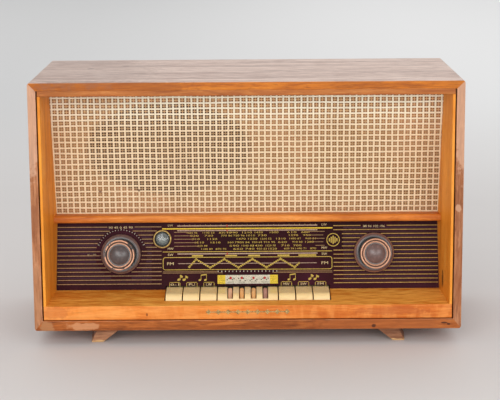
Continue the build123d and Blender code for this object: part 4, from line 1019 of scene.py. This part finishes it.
# framed FM scale, with the zigzag of station tracks over it
FRAME_HALF, FRAME_LOW, FRAME_HIGH, FRAME_ROUND, FRAME_PEN = 129.0, 30.2, 49.0, 3.5, 0.95
for v in (FRAME_LOW, FRAME_HIGH):
    bar("gold", -FRAME_HALF + FRAME_ROUND, FRAME_HALF - FRAME_ROUND, v, FRAME_PEN)
for side in (-1, 1):
    stroke(
        "gold", (side * FRAME_HALF, FRAME_LOW + FRAME_ROUND),
        (side * FRAME_HALF, FRAME_HIGH - FRAME_ROUND), FRAME_PEN,
    )
bend_x, bend_low, bend_high = FRAME_HALF - FRAME_ROUND, FRAME_LOW + FRAME_ROUND, FRAME_HIGH - FRAME_ROUND
bends = ((bend_x, bend_high), (-bend_x, bend_high), (-bend_x, bend_low), (bend_x, bend_low))
for quarter, (x, v) in enumerate(bends):
    ring("gold", x, v, FRAME_ROUND, FRAME_PEN, quarter * 90, quarter * 90 + 90)
bar("pale", -FM_HALF, FM_HALF, FM_ROW, 0.9)
ZIG = 21.5
ZIG_LOW, ZIG_HIGH, ZIG_END = 33.2, 46.0, 86
DASH, DASH_WIDTH, DASH_GAP = 3.3, 2.6, 0.12
corners = [(-89.0, 34.5), (-78.5, ZIG_HIGH)]
while corners[-1][0] + ZIG < ZIG_END:
    corners.append((corners[-1][0] + ZIG, ZIG_LOW if corners[-1][1] > FM_ROW else ZIG_HIGH))
corners.append((corners[-1][0] + 8, 40.5))
for start, end in zip(corners, corners[1:]):
    first, last = Vector(start), Vector(end)
    dashes = max(2, round((last - first).length / DASH))
    for i in range(dashes):
        a = first.lerp(last, (i + DASH_GAP) / dashes)
        b = first.lerp(last, (i + 1 - DASH_GAP) / dashes)
        stroke("gold", tuple(a), tuple(b), DASH_WIDTH)
for x, v in corners[:-1]:
    disc("gold", x, v, 2.2, sides=4)

for side in (-1, 1):
    for v, inner in zip(UNDERLINES, (46, 38)):
        bar("line", *sorted((side * inner, side * RULE_HALF)), v, 0.75)
for index in range(17):
    x = -45 + index * 5.6
    bar("white", x - 0.55, x + 0.55, UNDERLINES[0] + 0.2, 2.0)


def note_pair(x, v, size):
    """Two beamed notes, a plain music sign."""
    for step in (-1, 1):
        disc("gold", x + step * size * 0.5 - 0.9, v - size * 0.45, 2.0, squash=0.72, lean=0.35)
        bar("gold", x + step * size * 0.5 + 0.55, x + step * size * 0.5 + 1.25, v, size * 0.95)
    stroke("gold", (x - size * 0.5 + 0.7, v + size * 0.42), (x + size * 0.5 + 1.2, v + size * 0.55), 1.6)


def single_note(x, v, size):
    """One note with its flag, a plain music sign."""
    disc("gold", x - 1.2, v - size * 0.4, 2.4, squash=0.72, lean=0.35)
    bar("gold", x + 0.6, x + 1.4, v + 0.3, size)
    stroke("gold", (x + 1.0, v + size * 0.5), (x + 4.8, v + size * 0.16), 1.5)
    stroke("gold", (x + 1.0, v + size * 0.24), (x + 4.2, v - size * 0.06), 1.2)


for side in (-1, 1):
    note_pair(side * 68, 18.2, 8.4)
    single_note(side * 100 - 4, 18.2, 7.6)
    single_note(side * 100 + 4, 17.6, 6.4)

# labels over the keys, each under a bracket
KEY_CENTRES = (59.2, 85.3, 111.4)
BRACKET_HALF, BRACKET_PEN = 8, 0.75
for x in KEY_CENTRES:
    for middle in (-x, x):
        for edge in (middle - BRACKET_HALF, middle + BRACKET_HALF):
            stroke("gold", (edge, 4.0), (edge, 10.2), BRACKET_PEN)
        bar("gold", middle - 7.4, middle + 7.4, 10.9, BRACKET_PEN)
labels = {-111.4: "0-1", -85.3: "PU", -59.2: "LW", 59.2: "MW", 85.3: "SW", 111.4: "FM"}
for x, text in labels.items():
    letters("note", text, x, 7.6, 4.0 * len(text) + 1, 3.8)

# tone register over the wheels: a pale strip with yellow ends and a red mark for each wheel
STRIP_HALF, STRIP_END = 34.0, 46.0
for side in (-1, 1):
    bar("bright", *sorted((side * STRIP_HALF, side * STRIP_END)), REGISTER_ROW, REGISTER_HEIGHT)
    for index in range(4):
        bar("gold", side * 40 - 4.5, side * 40 + 4.5, 10.6 + index * 2.9, 0.5)
bar("white", -STRIP_HALF, STRIP_HALF, REGISTER_ROW, REGISTER_HEIGHT)
ABOVE = 0.16 * MM
accents = {name: Shape() for name in ("red", "dark")}
for index, x in enumerate((-26.0, -9.0, 9.0, 26.0)):
    accents["red"].disc(x * MM, 17.2 * MM, 2.0 * MM, UNDER, ABOVE, 16)
    for step in (-2, -1, 1, 2):
        across = x + step * 2.6
        up = 13.0 + (index + step) % 3 * 1.7
        accents["dark"].disc(across * MM, up * MM, 0.95 * MM, UNDER, ABOVE, 12)
    accents["dark"].bar((x - 5) * MM, (x + 5) * MM, 10.6 * MM, 11.1 * MM, UNDER, ABOVE)

# plain badge: five bars in a ring
ring("gold", *BADGE, 9.6, 1.1)
for index, height in enumerate((5.0, 9.0, 12.5, 9.0, 5.0)):
    x = BADGE[0] + (index - 2) * 2.9
    bar("gold", x - 0.85, x + 0.85, BADGE[1], height)

for name, shape in prints.items():
    if shape.points:
        mesh = shape.mesh("print")
        piece(f"dial_print_{name}", mesh, INKS[name], matrix=DIAL.matrix())
for name, shape in accents.items():
    mesh = shape.mesh("accent")
    piece(f"dial_accent_{name}", mesh, INKS[name], matrix=DIAL.matrix())

pointer_low, pointer_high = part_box("dial_pointer")
pointer_x = (pointer_low.x + pointer_high.x) / 2
marks = Shape()
for v, height in ((TOP_SCALE, 3.4), (LOWER_RULE, 3.0), (SHORT_SCALE, 3.0)):
    marks.bar(
        pointer_x - 0.9 * MM, pointer_x + 0.9 * MM,
        (v - height / 2) * MM, (v + height / 2) * MM, 0.14 * MM, 0.3 * MM,
    )
piece("pointer_marks", marks.mesh("marks"), INKS["red"], "pointer", matrix=DIAL.matrix())

# ---- magic eye
eye_place = DIAL.matrix(EYE[0] * MM, EYE[1] * MM)


def eye_glass():
    """Clear glass with a faint film on it."""
    g = Graph("eye_glass", Transmission_Weight=0.85, IOR=1.45, Specular_IOR_Level=0.5)
    film = g.noise(g.object, 120, 3, 0.6)
    colour = g.mix(film, tone(176, 184, 182), tone(204, 208, 204))
    return g.finish(colour, g.span(film, 0.3, 0.7, 0.03, 0.1))


def eye_target():
    """The grey fluorescent dish, with a pale patch painted on it as its glow and highlight."""
    g = Graph("eye_target", Roughness=0.5)
    turn = DIAL.at(EYE[0] * MM, EYE[1] * MM)
    # Painted glow and highlight: a pale patch low on the dish, a little to the right.
    highlight_middle = turn + DIAL.up * -2.4 * MM + DIAL.right * 1.0 * MM
    painted_glow_highlight = g.spot(tuple(highlight_middle), (5.2 * MM, 8 * MM, 4.4 * MM), 0.1)
    coat = g.noise(g.object, 420, 3, 0.6)
    colour = g.mix(coat, tone(112, 116, 112), tone(132, 136, 130))
    colour = g.mix(painted_glow_highlight, colour, tone(190, 198, 184))
    return g.finish(colour)


glass_profile = [
    (0, -45), (9.6, -45), (10.3, -42), (10.3, 0.2), (9.7, 1.2), (8.0, 1.7), (4.5, 1.95), (0, 2.05),
]
inner_profile = [(0, -1.8), (2.6, -1.8), (2.8, -2.6), (9.4, -0.9), (9.5, -1.4), (3.0, -5.5), (0, -5.5)]
eye = piece(
    "eye_bulb", lathe([(r * MM, h * MM) for r, h in glass_profile]), eye_glass(),
    smooth=True, matrix=eye_place,
)
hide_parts("magic_eye_tube")
piece(
    "eye_dish", lathe([(r * MM, h * MM) for r, h in inner_profile]), eye_target(),
    smooth=True, matrix=eye_place,
)

# ---- thumbwheels
WHEEL_TONES = (tone(206, 158, 122), tone(214, 158, 96), tone(214, 162, 102), tone(164, 120, 104))
TEETH = 44
TOOTH_DEPTH = 0.45 * MM
WHEEL_HALF = 3.3 * MM
STUB = 8.0 * MM
AXLE = 1.95 * MM
for number, shade in enumerate(WHEEL_TONES, start=1):
    node = f"tone_wheel_{number}"
    low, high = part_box(node)
    centre = (low + high) / 2
    radius = (high.z - low.z) / 2
    bm = bmesh.new()
    loops = []
    outward = [
        (0.0, radius, 1.0), (WHEEL_HALF - 1.6 * MM, radius - 0.4 * MM, 1.0),
        (WHEEL_HALF - 0.5 * MM, radius - 1.3 * MM, 0.5), (WHEEL_HALF, radius - 2.6 * MM, 0),
        (WHEEL_HALF, AXLE, 0), (STUB, AXLE, 0),
    ]
    inward = [(-across, reach, depth) for across, reach, depth in reversed(outward[1:])]
    for across, reach, depth in inward + outward:
        loop = []
        for i in range(TEETH * 4):
            angle = 2 * math.pi * i / (TEETH * 4)
            tooth = -TOOTH_DEPTH * depth * (1 if i % 4 in (0, 1) else 0)
            r = reach + tooth
            loop.append(bm.verts.new((across, r * math.cos(angle), r * math.sin(angle))))
        loops.append(loop)
    look = plain(f"wheel_plastic_{number}", shade, 0.4, 0.12, 130, 0.12)
    spot = Matrix.Translation(centre)
    wheel = piece(f"ribbed_wheel_{number}", skin(bm, loops), look, node, matrix=spot)
    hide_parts(node)

# ---- the stage
def pale_floor():
    g = Graph("pale_floor", Roughness=0.75, Specular_IOR_Level=0.2)
    cloud = g.noise(g.object, 1.6, 3, 0.5)
    back = g.span(g.axes(g.object)[1], 0.0, 2.6)
    near = g.mix(cloud, tone(214, 209, 207), tone(222, 218, 216))
    # The far floor, seen as the backdrop, is painted brighter to the right: painted light.
    far_painted_light = g.mix(g.span(g.axes(g.object)[0], -1.0, 0.9), tone(208, 208, 208), tone(232, 232, 232))
    return g.finish(g.mix(back, near, far_painted_light))


floor_shape = Shape()
floor_shape.disc(0, 0, 30.0, -0.02, -0.0002, 96)
floor_mesh = floor_shape.mesh("floor")
floor_mesh.materials.append(pale_floor())
floor = bpy.data.objects.new("floor", floor_mesh)
scene.collection.objects.link(floor)

world = bpy.data.worlds.new("studio")
scene.world = world
world.use_nodes = True
studio = Nodes(world.node_tree)
direction = studio.new("ShaderNodeTexCoord").outputs["Generated"]
facing = studio.span(studio.axes(direction)[1], -1.0, -0.1, step="LINEAR")
shade = studio.mix(facing, (0.50, 0.50, 0.50, 1), (0.70, 0.70, 0.70, 1))
studio.fill(world.node_tree.nodes["Background"], Color=shade, Strength=1.0)


def softbox(name, place, target, width, height, power):
    data = bpy.data.lights.new(name, "AREA")
    data.shape = "RECTANGLE"
    data.size = width
    data.size_y = height
    data.energy = power
    lamp = bpy.data.objects.new(name, data)
    scene.collection.objects.link(lamp)
    lamp.location = place
    aim = Vector(target) - Vector(place)
    lamp.rotation_euler = aim.to_track_quat("-Z", "Y").to_euler()


softbox("key_light", (-0.9, -2.7, 1.25), (0, 0, 0.2), 1.6, 1.2, 27)
softbox("fill_light", (1.4, -2.5, 1.0), (0, 0, 0.2), 1.2, 1.2, 18)
softbox("low_light", (0.0, -2.6, 0.5), (0, 0, 0.02), 1.4, 0.3, 9)
softbox("backdrop_light", (0.3, 4.6, 3.4), (0.3, 4.9, 0), 9.0, 7.0, 100)

# ---- the camera
CAMERA_PLACE = (0.0048, -2.3286, 0.6815)
CAMERA_PITCH = math.radians(10.418)
CAMERA_ROLL = math.radians(-0.393)
LENS = 109.8
SHIFT = -0.08
ahead = Vector((0, math.cos(CAMERA_PITCH), -math.sin(CAMERA_PITCH)))
right = Vector((1, 0, 0))
up = right.cross(ahead)
rolled_right = right * math.cos(CAMERA_ROLL) + up * math.sin(CAMERA_ROLL)
rolled_up = -right * math.sin(CAMERA_ROLL) + up * math.cos(CAMERA_ROLL)
camera_data = bpy.data.cameras.new("camera")
camera_data.sensor_width = 36
camera_data.lens = LENS
camera_data.shift_y = SHIFT
camera = bpy.data.objects.new("camera", camera_data)
scene.collection.objects.link(camera)
camera.matrix_world = Matrix.Translation(CAMERA_PLACE) @ (
    Matrix((rolled_right, rolled_up, -ahead)).transposed().to_4x4()
)
scene.camera = camera
scene.view_settings.view_transform = "Standard"
